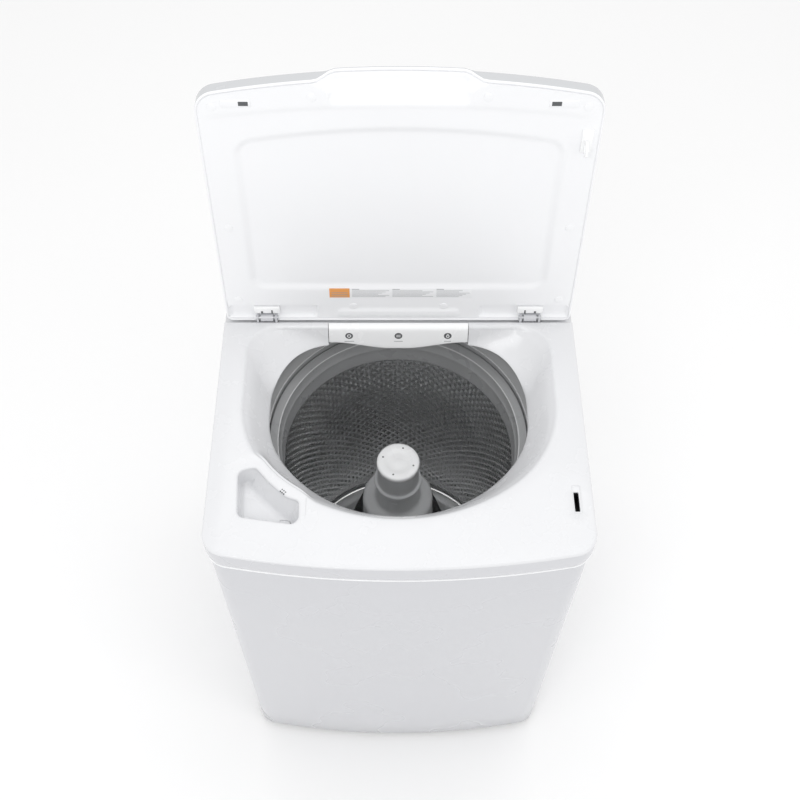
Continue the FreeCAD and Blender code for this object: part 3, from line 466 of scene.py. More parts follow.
def offset(loop, distance):
    """Moves a closed loop sideways: outwards for a positive distance."""
    points = [Vector((p[0], p[1])) for p in loop]
    area = sum(a.x * b.y - b.x * a.y for a, b in zip(points, points[1:] + points[:1]))
    sign = 1 if area > 0 else -1
    moved = []
    for i, here in enumerate(points):
        before, after = points[i - 1], points[(i + 1) % len(points)]
        a = (here - before)
        b = (after - here)
        if a.length < 1e-9:
            a = b
        if b.length < 1e-9:
            b = a
        a.normalize()
        b.normalize()
        na = Vector((a.y, -a.x)) * sign
        nb = Vector((b.y, -b.x)) * sign
        middle = na + nb
        middle = middle / max(0.3, middle.length_squared / 2)
        moved.append(here + middle * distance)
    return moved


def rounded(corners, radius, steps=8):
    """A closed loop with its corners rounded."""
    points = [Vector(p) for p in corners]
    radii = radius if isinstance(radius, (list, tuple)) else [radius] * len(points)
    loop = []
    for i, here in enumerate(points):
        a = (points[i - 1] - here)
        b = (points[(i + 1) % len(points)] - here)
        half = a.angle(b) / 2
        reach = min(radii[i] / math.tan(half), a.length * 0.49, b.length * 0.49)
        size = reach * math.tan(half)
        middle = here + (a.normalized() + b.normalized()).normalized() * (size / math.sin(half))
        start = here + a.normalized() * reach - middle
        end = here + b.normalized() * reach - middle
        turn = start.angle_signed(end)
        for k in range(steps + 1):
            t = -turn * k / steps
            loop.append(middle + Vector((start.x * math.cos(t) - start.y * math.sin(t),
                                         start.x * math.sin(t) + start.y * math.cos(t))))
    return loop


def rectangle(x0, x1, y0, y1, radius=2.0, steps=6):
    return rounded(((x0, y0), (x1, y0), (x1, y1), (x0, y1)), radius, steps)


def arc_points(centre, radius, start, end, count):
    found = []
    for i in range(count + 1):
        angle = math.radians(start + (end - start) * i / count)
        found.append(Vector((centre[0] + radius * math.cos(angle), centre[1] + radius * math.sin(angle))))
    return found


def circle(radius, count):
    """The points (x, y) of a circle about the origin."""
    turns = (2 * math.pi * k / count for k in range(count))
    return [(radius * math.cos(t), radius * math.sin(t)) for t in turns]


def straight(a, b, count):
    """The points between a and b, ends left out."""
    a, b = Vector(a), Vector(b)
    return [a.lerp(b, i / count) for i in range(1, count)]


# ---- outlines, as the design has them

def front_path(inset, rear):
    """The case's side and front edge, from the left side at rear round the front to the right side."""
    half = SIDE - inset
    radius = CORNER - inset
    bow = BOW - inset
    bow_y = BOW + FRONT
    corner_x = half - radius
    corner_y = bow_y - math.sqrt((bow - radius) ** 2 - corner_x ** 2)
    lean = math.degrees(math.atan2(corner_x, bow_y - corner_y))
    path = [Vector((-half, rear)), *straight((-half, rear), (-half, corner_y), 24)]
    path += arc_points((-corner_x, corner_y), radius, 180, 270 - lean, 16)
    path += arc_points((0, bow_y), bow, 270 - lean, 270 + lean, 64)[1:-1]
    path += arc_points((corner_x, corner_y), radius, 270 + lean, 360, 16)
    path += straight((half, corner_y), (half, rear), 24)
    path.append(Vector((half, rear)))
    return path


def case_loop(inset, rear, rear_radius):
    """The whole outline, closed across the rear."""
    half = SIDE - inset
    path = front_path(inset, rear - rear_radius)
    path += arc_points((half - rear_radius, rear - rear_radius), rear_radius, 0, 90, 8)[1:]
    path += straight((half - rear_radius, rear), (rear_radius - half, rear), 64)
    path += arc_points((rear_radius - half, rear - rear_radius), rear_radius, 90, 180, 8)[:-1]
    return path


def with_mirror(path):
    """A path that ends on the middle plane, carried on by its mirror image."""
    return path + [Vector((-p.x, p.y)) for p in reversed(path[:-1])]


def resampled(points, count):
    """Points at even steps along an open path."""
    lengths = [(b - a).length for a, b in zip(points, points[1:])]
    total = sum(lengths)
    found = []
    passed, i = 0.0, 0
    for k in range(count + 1):
        want = total * k / count
        while i < len(lengths) - 1 and passed + lengths[i] < want:
            passed += lengths[i]
            i += 1
        found.append(points[i].lerp(points[i + 1], min(1.0, (want - passed) / lengths[i])))
    return found


def opening_path(t, grow=0.0):
    """The opening's edge, from the drawer's right round the front to its left.

    t is 0 at the deck and 1 at the throat; grow moves the edge outwards.
    """
    side = between(290, 246, t) + grow
    side_r = between(220, 172, t) + grow
    front_r = between(340, 263, t) + grow
    rear = between(162, 149, t) + grow
    rear_r = between(62, 124, t) + grow
    centre_x = side - side_r
    front_y = TUB_Y + math.sqrt((front_r - side_r) ** 2 - centre_x ** 2)
    lean = math.degrees(math.atan2(centre_x, front_y - TUB_Y))
    corner_x = side - rear_r
    start = math.degrees(math.acos(max(0.0, DRAWER - corner_x) / rear_r))
    corner = arc_points((corner_x, rear - rear_r), rear_r, start, 0, 48)
    if corner_x > DRAWER:
        corner = [Vector((DRAWER, rear))] + corner
    half = resampled(corner, 40)
    half += straight((side, rear - rear_r), (side, TUB_Y), 12)
    half += arc_points((centre_x, TUB_Y), side_r, 0, lean - 90, 48)
    half += arc_points((0, front_y), front_r, lean - 90, -90, 20)[1:]
    return with_mirror(half)


def cup_share(p):
    """1 where the bleach cup crowds the opening's edge, 0 away from it."""
    angle = math.degrees(math.atan2(p.y - TUB_Y, p.x + 70))
    return smooth(-152, -143, angle) * (1 - smooth(-120, -108, angle))


def saucer_line(y):
    """The x of the shallow step at the right of the saucer round the bleach cup."""
    return -162.8 - 8 * (max(0.0, -245 - y) / 20) ** 2


def saucer_depth(x, y):
    """How far the deck round the bleach cup lies below the rest of it."""
    right = smooth(0.7, -0.7, x - saucer_line(y))
    left = smooth(-296, -286, x) * (1 - smooth(-140, -128, y - 0.4 * (x + 270)))
    return 1.4 * right * left * smooth(-266, -214, y)


# the throat's wall, row by row: t, sideways and height, then the last two again beside the bleach cup
THROAT = ((0, 7, 0, -4.4, 0), (0, 4.4, -0.35, -5.0, -0.2), (0, 2.2, -1.3, -5.5, -0.8),
          (0.01, 0.6, -3.0, -5.6, -2.6), (0.03, 0.1, -4.3, -5.4, -4.2), (0.05, 0, -5.4, -6.4, -4.9),
          (0.08, 0, -7.0, -7.2, -5.3), (0.14, 0, -9.5, -4.9, -7.5), (0.3, 0, -18, -1.2, -18),
          (0.5, 0, -30, 0, -30), (0.7, 0, -42, 0, -42), (0.87, 0, -52, 0, -52), (0.96, 0, -58, 0, -58),
          (1, -0.3, -61.5, -0.3, -61.5), (1, -0.4, -63.5, -0.4, -63.5), (1, 0.4, -65.3, 0.4, -65.3),
          (1, 2.0, -66, 2.0, -66), (1, 4.0, -65, 4.0, -65))


EDGE_SHARE = 0.14       # t where the rounded edge ends and the wall begins
REAR_RISE = 0.36        # how much shallower the wall is at the rear


def throat_rows():
    """The throat's wall: shallower at the rear, and with a second edge beside the bleach cup."""
    guide = opening_path(0)
    foot = opening_path(1)
    rows = []
    for t, grow, z, cup_grow, cup_z in THROAT:
        row = []
        for a, b, g, f in zip(opening_path(t, grow), opening_path(t, cup_grow), guide, foot):
            share = cup_share(g)
            spot = a.lerp(b, share)
            height = between(z, cup_z, share)
            if t >= EDGE_SHARE:
                height *= 1 - REAR_RISE * smooth(50, 140, f.y)
            else:
                height -= saucer_depth(spot.x, spot.y) * (1 - t / EDGE_SHARE)
            row.append((spot.x, spot.y, TOP + height))
        rows.append(row)
    return rows


def flat_rows(path_of, profile):
    """Rows of points for a profile of (sideways, height), on the path that path_of gives."""
    return [[(p.x, p.y, z) for p in path_of(side)] for side, z in profile]


def deck_front(side):
    return front_path(side, STEP_Y)


def loop_rows(loop, profile, base=0.0):
    """Rows of points for a profile of (sideways, height above base), round a closed loop."""
    return flat_rows(lambda side: offset(loop, side), raised(profile, base))


def bead(radius_in, radius_up, start, step, count):
    """A rounded profile about the origin, from start degrees down by step degrees."""
    angles = (math.radians(start - step * i) for i in range(count))
    return [(-radius_in * math.cos(a), radius_up * math.sin(a)) for a in angles]


# ---- deck

# the deck's edge and the band below it: sideways, height
FASCIA = ((4.2, 0), (2.6, -0.25), (1.3, -0.95), (0.4, -2.1), (0, -3.8), (0, -24), (0.3, -36), (1.2, -44),
          (2.6, -48.4), (4.0, -49.8), (5.5, -50), (9, -50))
EDGE_ROWS = 5           # how many of its rows belong to the deck's own rounding


def make_fascia():
    """The band below the deck's edge, in the darker enamel grey that paints its shade, and the bright bead of the
    joint under it.
    """
    skirt = Shape()
    skirt.rows(flat_rows(deck_front, raised(FASCIA[EDGE_ROWS - 1:], TOP)))
    skirt.make("deck_skirt", PAINT)
    joint = Shape()
    profile = [(3.2 + side, TOP - 51.2 + z) for side, z in bead(2.2, 1.5, 110, 22, 11)]
    joint.rows(flat_rows(deck_front, profile))
    joint.make("joint_bead", WHITE)


def trough_path(inset):
    """The deck's edge behind the step, round the hinge trough."""
    half = SIDE - inset
    rear = REAR - inset
    path = [Vector((half, STEP_Y)), *straight((half, STEP_Y), (half, rear - 6), 10)]
    path += arc_points((half - 6, rear - 6), 6, 0, 90, 6)
    return with_mirror(path + straight((half - 6, rear), (0, rear), 20) + [Vector((0, rear))])


def make_deck():
    make_fascia()
    deck = Shape()
    fascia = raised(FASCIA, TOP)
    deck.rows(flat_rows(deck_front, fascia[:EDGE_ROWS]))
    low = [(side, z) for side, z in fascia if z < TOP - 20]
    deck.rows(flat_rows(trough_path, [(2.0, TOP - 10), (0.6, TOP - 10.5), (0, TOP - 12), *low]))
    deck.fill([trough_path(2.0)], lambda x, y: TOP - 10, 24)

    rim_inset = FASCIA[0][0]
    step = ((STEP_Y, 0), (TROUGH - 1, -0.3), (TROUGH - 0.3, -1.0), (TROUGH, -2.0), (TROUGH, -10.5))
    beside = [DRAWER + (SIDE - rim_inset - DRAWER) * i / 30 for i in range(31)]
    for sign in (-1, 1):
        deck.rows([[(sign * x, y, TOP + z) for x in beside] for y, z in step])
        last = [(sign * (SIDE - side), STEP_Y, TOP + z) for side, z in FASCIA[:6]]
        deck.rows([last, [(x, TROUGH, z) for x, _, z in last]])

    throat = throat_rows()
    deck.rows(throat)
    for end in (0, -1):
        rear_edge = [row[end] for row in throat]
        deck.rows([rear_edge, [(x, STEP_Y, z) for x, _, z in rear_edge]])

    boundary = deck_front(rim_inset)
    boundary += [Vector((x, STEP_Y)) for x in reversed(beside[:-1])]
    boundary += [Vector(p[:2]) for p in throat[0]]
    boundary += [Vector((-x, STEP_Y)) for x in beside[:-1]]

    def level(x, y):
        return TOP - saucer_depth(x, y)

    pocket = cup_loop()
    wall = ((3.4, 0), (2.0, -0.25), (1.0, -0.95), (0.3, -2.2), (0, -3.8), (0, -9))
    deck.rows([[(p.x, p.y, level(p.x, p.y) + z) for p in offset(pocket, side)] for side, z in wall], True)
    seam = [(saucer_line(y) + d, y) for y in range(-268, -206, 3)
            for d in (-1.1, -0.7, -0.25, 0.25, 0.7, 1.1)]
    seam += [(x, y) for x in range(-296, -158, 6) for y in range(-268, -120, 6) if x < saucer_line(y) - 4]

    slot = rectangle(305.5, 314.5, -240, -202, 1.6)
    slot_edge = ((0.9, 0), (0.4, -0.15), (0.1, -0.5), (0, -1.0), (0, -4))
    deck.rows(loop_rows(slot, slot_edge, TOP), True)
    deck.fill([boundary, offset(pocket, 3.4), offset(slot, 0.9)], level, 18, seam)
    deck.make("deck", DECK, replaces=["top_deck"])

    bezel = Shape()
    profile = ((0.0, 0.05), (-0.3, 0.65), (-1.0, 0.95), (-1.6, 0.9), (-1.8, 0.5), (-1.9, -0.2))
    bezel.rows(loop_rows(rectangle(303.6, 319, -243.2, -188, 3.0), profile, TOP), True)
    bezel.make("lock_bezel", DECK)


def cup_loop():
    """The bleach cup's outline."""
    corners = ((-257, -150), (-287, -158), (-281.5, -249), (-184, -263.5), (-175, -252),
               (-176.5, -217.5), (-199, -210), (-231, -180.5))
    return rounded(corners, (12, 15, 14, 14, 12, 9, 34, 60), 8)


def make_cup():
    loop = cup_loop()
    cup = Shape()
    floor = -41.3
    profile = ((0, -8), (0.2, -16), (1.0, -26), (1.8, -33), (3.2, -37.5), (5.2, -40.2), (8, floor))

    def inner(side, z):
        """The wall's outline at a height: it slopes gently on the side next to the opening."""
        steep = offset(loop, -side)
        gentle = offset(loop, -side - 17 * smooth(-6, floor, z))
        share = [smooth(-66, -40, (p.x + p.y) * 0.7071 + 243) for p in loop]
        return [a.lerp(b, w) for a, b, w in zip(steep, gentle, share)]

    cup.rows([[(p.x, p.y, TOP + z) for p in inner(side, z)] for side, z in profile], True)
    drain = rounded(((-212, -247), (-187, -249), (-187, -237), (-212, -235)), 4, 5)
    cup.fill([inner(8, floor), drain], lambda x, y: TOP + floor, 8)
    cup.rows([[(p.x, p.y, z) for p in drain] for z in (TOP + floor, TOP - 42.6)], True)
    outer = ((0.2, -8), (1.2, -8.6), (1.2, -30), (-2, -42), (-12, -42.8))
    cup.rows(loop_rows(loop, outer, TOP), True)
    cup.fill([offset(loop, -12)], lambda x, y: TOP - 42.8, 20)
    cup.make("bleach_well", DECK, replaces=["bleach_cup"])

    dots = Shape()
    along = Vector((33, -29)).normalized()
    across = Vector((-along.y, along.x))
    for i in range(3):
        for j in range(2):
            spot = Vector((-204.4, -200.2)) + along * (i - 1) * 4.1 + across * (j - 0.5) * 4.6
            profile = ((0.01, 0.2), (1.1, 0.2), (1.3, 0.1), (1.35, -1.4))
            dots.turned(raised(profile, TOP - saucer_depth(*spot)), 16, spot)
    dots.make("cup_mark", INK_AND_SLOT_SHADE)


# ---- drawer

DRAWER_LEAN = 13        # how much further back the face's top is than its foot


def drawer_lip(x, half):
    """How far the drawer's face reaches down from the deck: most in the middle."""
    return 39.5 + 14.5 * (1 - smooth(0.1, 0.95, abs(x) / half))


def drawer_face(z):
    """The y of the drawer's leaning face at height z."""
    low, high = node_mm("dispenser_drawer")
    return between(low[1], low[1] + DRAWER_LEAN, (z - low[2]) / (high[2] - low[2]))


def make_drawer():
    high = node_mm("dispenser_drawer")[1]
    half = high[0]
    top = high[2]
    rear = TROUGH - 2.4
    columns = [half * (i / 40 - 1) for i in range(81)]

    upper = ((11, 0), (7.2, -0.25), (3.9, -1.2), (1.7, -2.9), (0.6, -5.2), (0.15, -8), (0, -14), (0, -22))
    lower = ((0, 10), (0, 4.5), (0.3, 2.4), (1.2, 0.9), (3.2, 0))
    lips = [drawer_lip(x, half) for x in columns]
    rows = [[(x, rear, top) for x in columns]]
    rows += [[(x, drawer_face(top + z) + back, top + z) for x in columns] for back, z in upper]
    for back, rise in lower:
        rows.append([(x, drawer_face(top + (rise - lip)) + back, top + rise - lip)
                     for x, lip in zip(columns, lips)])
    rows.append([(x, rear, top - lip) for x, lip in zip(columns, lips)])
    rows.append(rows[0])
    drawer = Shape()
    rings = drawer.rows(rows)
    for end in (0, -1):
        drawer.faces.append(tuple(ring[end] for ring in rings[:-1]))
    drawer.make("drawer_front", WHITE, "drawer", ["dispenser_drawer"], 50)


def make_drawer_tray():
    low, high = node_mm("dispenser_drawer")
    tray = Shape()
    bottom = low[2]
    top = bottom + 38
    wells = [rectangle(a, b, TROUGH + 2, high[1] - 3, 7) for a, b in ((-128, -46), (-43, 43), (46, 128))]
    edge = rectangle(low[0] + 5, high[0] - 5, TROUGH - 3, high[1], 4)
    outside = ((-1.0, top), (-0.3, top - 0.3), (0, top - 1), (0, bottom + 5), (-1.5, bottom + 1.5),
               (-5, bottom))
    tray.rows(loop_rows(edge, outside), True)
    tray.fill([offset(edge, -5)], lambda x, y: bottom, 40)
    tray.fill([offset(edge, -1.0)] + [offset(well, 0.8) for well in wells], lambda x, y: top, 30)
    for well in wells:
        walls = ((0.8, top), (0.3, top - 0.3), (0, top - 1), (0, bottom + 12), (-2, bottom + 7),
                 (-5, bottom + 4), (-9, bottom + 3))
        tray.rows(loop_rows(well, walls), True)
        tray.fill([offset(well, -9)], lambda x, y: bottom + 3, 25)
    tray.make("drawer_tray", WHITE, "drawer")


def make_drawer_marks():
    """Generic signs for the three wells: a ring, three bars and a drop, with a bar under each."""
    low, high = node_mm("dispenser_drawer")
    beside = high[0] * 0.71
    centre = high[2] - 21
    slope = DRAWER_LEAN / (high[2] - low[2])
    steep = 1 / math.hypot(1, slope)
    dark = Shape()
    pale = Shape()
    faint = Shape()

    def front(points):
        """Places points (x, up, out) on the leaning face."""
        return [(x, drawer_face(centre + up * steep) - out, centre + up * steep + out * slope)
                for x, up, out in points]

    def disc(shape, x, up, radius, out):
        base = front([(x + a, up + b, 0.02) for a, b in circle(radius, 32)])
        rim = front([(x + a * 0.97, up + b * 0.97, out) for a, b in circle(radius, 32)])
        rings = shape.rows([base, rim], True)
        shape.faces.append(tuple(rings[-1]))

    def bar(shape, x, up, width, height, out):
        base = shape.add(front([(x + a * width / 2, up + b * height / 2, out) for a, b in CORNERS]))
        shape.faces.append(tuple(base))

    for x in (-beside, 0, beside):
        disc(dark, x, 0, 7.6, 0.25)
    disc(pale, -beside, 0, 4.2, 0.3)
    disc(dark, -beside, 0, 2.4, 0.35)
    for up in (-2.3, 0, 2.3):
        bar(pale, 0, up, 8.4, 1.1, 0.3)
    disc(pale, beside, -0.8, 3.6, 0.3)
    disc(dark, beside, -0.8, 2.0, 0.35)
    bar(pale, beside, 4.1, 3.4, 1.6, 0.3)
    for x, width in ((-beside, 19), (0, 17), (beside, 14)):
        bar(faint, x, -13.6, width, 1.5, 0.12)
    dark.make("drawer_marks_dark", INK_AND_SLOT_SHADE, "drawer")
    pale.make("drawer_marks_pale", WHITE, "drawer")
    faint.make("drawer_marks_faint", FAINT, "drawer")


# ---- lid, written as it lies closed and then swung open

LID_THICK = 30
LID_INSET = 5.4         # how far the lid's wall is inside the case's side
LID_REAR = AXIS_Y + 8
CROWN = 28.9            # height of the crown's edge above the hinge plane


def lid_loop(inward, height):
    """The lid's outline inward mm from its wall, at a height (one number or one per point)."""
    wide = case_loop(5 + inward, LID_REAR - inward, max(1.5, 12 - inward))
    narrow = case_loop(LID_INSET + inward, LID_REAR - inward, max(1.5, 12 - inward))
    heights = height if isinstance(height, list) else [height] * len(wide)
    return [w.lerp(n, 1 - (h + 1) / LID_THICK) for w, n, h in zip(wide, narrow, heights)]


def on_lid(loop, heights):
    """Points on the closed lid, with their heights counted from the hinge plane."""
    return [(p.x, p.y, AXIS_Z + h) for p, h in zip(loop, heights)]


def grip_share(x, along):
    """1 in the finger recess at the lid's front edge, 0 away from it."""
    width = between(12, 34, smooth(496, 522, along))
    return 1 - smooth(104, 104 + width, abs(x))


def soft_box(x, y, x0, x1, y0, y1, radius, edge):
    """1 inside a rounded box, 0 outside, with a soft edge."""
    cx, cy = (x0 + x1) / 2, (y0 + y1) / 2
    dx = abs(x - cx) - (x1 - x0) / 2 + radius
    dy = abs(y - cy) - (y1 - y0) / 2 + radius
    gap = math.hypot(max(dx, 0), max(dy, 0)) + min(max(dx, dy), 0) - radius
    return 1 - smooth(-edge / 2, edge / 2, gap)


def liner_height(x, y):
    """The liner's surface above the hinge plane: positive is deeper into the lid."""
    along = AXIS_Y - y
    field = 3.6 * soft_box(x, along, -274, 274, 80, 429 - 26 * (x / 273) ** 2, 24, 15)
    fold_line = 469 - 23 * (x / 327) ** 2
    fold = 2.0 * smooth(0, 12, along - fold_line) * smooth(330, 300, abs(x))
    grip = 26 * grip_share(x, along) * smooth(474, 512, along)
    strip = 2.6 * soft_box(x, along, -116, 116, 4, 21, 6, 5)
    hinge_pockets = 7 * soft_box(abs(x), along, 157, 329, 3, 30.5, 7, 4)
    return field - fold + grip - strip + hinge_pockets


def make_lid():
    reference = case_loop(12, LID_REAR, 12)
    lift = [27.5 * grip_share(p.x, 530) if p.y < FRONT + 60 else 0.0 for p in reference]
    liner_edge = lid_loop(5.2, [0.0] * len(reference))
    edge_height = [max(liner_height(p.x, p.y), l - 1.5 if l > 1 else -9) for p, l in zip(liner_edge, lift)]
    liner_edge = lid_loop(5.2, edge_height)

    def wall(inward, rise):
        heights = [l + rise for l in lift]
        return on_lid(lid_loop(inward, heights), heights)

    liner = Shape()
    bead_line = ((4.9, 0.6), (4.5, 0.7), (4.1, 0.0), (3.6, -0.8), (2.8, -1.3), (1.6, -1.2), (0.6, -0.6),
                 (0.1, 0.4), (0.1, 2.6), (1.0, 3.0))
    liner.rows([on_lid(liner_edge, edge_height)] + [wall(inward, rise) for inward, rise in bead_line], True)
    liner.fill([liner_edge], lambda x, y: AXIS_Z + liner_height(x, y), 4.0)
    edge = {(round(p.x, 2), round(p.y, 2)): h for p, h in zip(liner_edge, edge_height)}
    for spot in liner.points:
        h = edge.get((round(spot.x, 2), round(spot.y, 2)))
        if h is not None and abs(spot.z - AXIS_Z - h) < 6:
            spot.z = AXIS_Z + h
    liner.make_on_lid("lid_lining", LINER, ["lid_liner"], 42)

    shell = Shape()
    rows = [wall(inward, rise) for inward, rise in ((1.6, 3.4), (0.5, 2.3), (0.06, 2.2), (0, 2.6), (0, 4.0))]
    for share in (0.15, 0.4, 0.7, 1.0):
        heights = [between(l + 4.0, max(22.0, l + 4.2), share) for l in lift]
        rows.append(on_lid(lid_loop(0, heights), heights))
    for inward, height in ((0.5, 24.6), (1.9, 27.0), (4.0, 28.4), (7, CROWN)):
        heights = [max(height, l + 4.3 + inward * 0.05) for l in lift]
        rows.append(on_lid(lid_loop(inward, 22.0), heights))
    shell.rows(rows, True)
    crown = lid_loop(7, 22.0)
    top_edge = {(round(p.x, 3), round(p.y, 3)): z for p, (_, _, z) in zip(crown, rows[-1])}

    def crown_height(x, y):
        known = top_edge.get((round(x, 3), round(y, 3)))
        if known is not None:
            return known
        return AXIS_Z + CROWN + 0.9 * (1 - (x / SIDE) ** 2) * smooth(0, 60, y - FRONT)

    shell.fill([crown], crown_height, 16)
    shell.make_on_lid("lid_shell", LID_PAINT, ["lid_outer_shell"], 42)


def make_plugs():
    """The round plugs in the liner."""
    plugs = Shape()
    radius, proud = 8.6, 1.1
    profile = ((0.01, -proud), (radius - 2.2, -proud), (radius - 1.3, -proud * 0.75),
               (radius - 1, -proud * 0.3), (radius - 0.9, 0.9), (radius, 0.9))
    for sign in (-1, 1):
        for x, along in ((142, 492), (305, 474), (306, 222), (307, 47), (87, 30)):
            y = AXIS_Y - along
            plugs.turned(raised(profile, AXIS_Z + liner_height(sign * x, y)), 40, (sign * x, y))
    plugs.make_on_lid("lid_plugs", LINER)


def lid_block(shape, across, along, up, round_by):
    """A block on the closed lid, each measure a pair of ends: along runs forwards from the hinge's axis."""
    shape.block(*across, AXIS_Y - along[1], AXIS_Y - along[0], AXIS_Z + up[0], AXIS_Z + up[1], round_by)


def lid_blocks(name, material, blocks, replaces=()):
    """Makes a piece of blocks, each given for the right side and made at both."""
    shape = Shape()
    for sign in (-1, 1):
        for across, *rest in blocks:
            lid_block(shape, sorted(sign * x for x in across), *rest)
    shape.make_on_lid(name, material, replaces)


def make_strike():
    """The lid's hook, which the lock's bolt goes through."""
    strike = Shape()
    lid_block(strike, (302, 321), (386, 430), (-2.6, 1), 1.1)
    outline = ((-411.5, -2), (-411.5, -17), (-409, -21.5), (-403, -23.2), (-392, -23.2), (-388.5, -20.5),
               (-387.5, -16), (-387.5, -2))
    outer = rounded(outline, 2.0, 5)
    hole = rounded(((-407, -5), (-407, -17), (-404, -20), (-395, -20), (-391.5, -17), (-391.5, -5)), 1.6, 5)

    def side(loop, x):
        return [(x, AXIS_Y + p.x, AXIS_Z + p.y) for p in loop]

    sides = (307.7, 312.3)
    for loop in (outer, hole):
        strike.rows([side(loop, x) for x in sides], True)
    face = Shape()
    face.fill([outer, hole], lambda a, b: 0)
    for x in sides:
        strike.join(side(face.points, x), face.faces)
    strike.make_on_lid("lid_hook", WHITE, ["lid_strike"])


def make_card():
    """The care card near the hinge: an orange patch and generic lines with no lettering."""
    for name, material, across in (("care_card", LINER, (-93, 139)),
                                   ("care_card_patch", ORANGE, (-132, -93.4))):
        card = Shape()
        lid_block(card, across, (53, 76), (-0.3, 0.4), 0.15)
        card.make_on_lid(name, material)
    lines = Shape()

    def line(left, right, along, height):
        lid_block(lines, (left, right), (along - height, along), (-0.36, 0), 0)

    for column, (left, right) in enumerate(((-89, -18), (-12, 66), (72, 136))):
        line(left, left + 14, 75, 1.6)
        for row in range(6):
            short = 7 * ((column * 3 + row * 5) % 4)
            line(left, right - short, 71 - row * 3, 0.9)
    for row in range(3):
        line(-128, -97.5, 66 - row * 4.4, 1.2)
    lines.make_on_lid("care_card_lines", FAINT)


def make_lid_fittings():
    make_plugs()
    lid_blocks("lid_pads", LINER, [((241, 290), (474, 487), (-3.6, 1), 1.8)], ["lid_bumpers"])
    lid_blocks("lid_pad_windows", INK_AND_SLOT_SHADE, [((245, 261), (477, 485), (-3.85, -2), 0.3)])
    lid_blocks("hinge_bosses", WHITE, [((230, 280), (13, 28.5), (-3.2, 8), 2.2)])
    # Dark patches on the hinge bosses: painted shade for the depth of their slots.
    lid_blocks("hinge_boss_holes", INK_AND_SLOT_SHADE, [((262.5, 266.5), (13.6, 19.5), (-3.45, -2), 0.3),
                                                   ((243.5, 246.5), (12.9, 22), (-3.45, -2), 0.3)])
    make_strike()
    make_card()


# ---- console and back

SLOPE_RUN, SLOPE_RISE = 50, 142     # of the console's face
FACE_LENGTH = 150.5
CONTROL_ROW = 75                    # how far up the face the knob and the buttons are
BUTTONS = (-250, -190)


def on_face(points):
    """Places points (x, along, out) on the console's sloping face."""
    low = node_mm("console_shell")[0]
    tilt = math.atan2(SLOPE_RISE, SLOPE_RUN)
    run, rise = math.cos(tilt), math.sin(tilt)
    return [Vector((x, low[1] + along * run - out * rise, low[2] + along * rise + out * run))
            for x, along, out in points]


def make_console_marks():
    """Ticks round the knob, bars by the buttons, and a window with generic digits."""
    marks = Shape()
    pale = Shape()
    glass = Shape()

    def bar(shape, x, along, width, height, turn=0.0, out=2.62):
        c, t = math.cos(turn), math.sin(turn)
        rows = []
        for rise, shrink in ((-0.4, 1.0), (0.0, 1.0), (0.12, 0.9)):
            rows.append(on_face([(x + (a * width * c - b * height * t) * shrink / 2,
                                  along + (a * width * t + b * height * c) * shrink / 2, out + rise)
                                 for a, b in CORNERS]))
        rings = shape.rows(rows, True)
        shape.faces.append(tuple(rings[-1]))

    for i in range(12):
        angle = math.radians(-60 + 27.3 * i)
        near, far = 40.5, 52.5
        bar(marks, near * math.cos(angle), CONTROL_ROW + near * math.sin(angle), 5.0, 1.1, angle)
        if i % 2 == 0:
            bar(pale, far * math.cos(angle), CONTROL_ROW + far * math.sin(angle), 9, 1.6)
    for x in BUTTONS:
        bar(marks, x, 52, 12, 1.6)
        bar(marks, x, 99, 18, 1.2)
    glass_loop = rounded(((76, 52), (284, 52), (284, 100), (76, 100)), 5, 6)
    profile = ((0, 2.3), (0, 3.0), (-0.4, 3.3), (-1.0, 3.4), (-4, 3.4))
    rings = glass.rows([on_face(row) for row in loop_rows(glass_loop, profile)], True)
    glass.faces.append(tuple(rings[-1]))

    def lit(x, along, width, height):
        bar(pale, x, along, width, height, 0.0, 3.45)

    middle = 76
    for x in (150, 172, 194, 216):
        for up in (9, -9, 0):
            lit(x, middle + up, 8, 1.6)
        for up in (4.5, -4.5):
            for side in (-5, 5):
                lit(x + side, middle + up, 1.6, 7)
    for up in (-4, 4):
        lit(183, middle + up, 1.8, 1.8)
    for i in range(5):
        for x in (96, 262):
            lit(x, 62 + i * 7, 16, 1.4)
    marks.make("console_ticks", INK_AND_SLOT_SHADE, "cabinet")
    pale.make("console_symbols", FAINT, "cabinet")
    glass.make("console_window", BLACK, "cabinet")


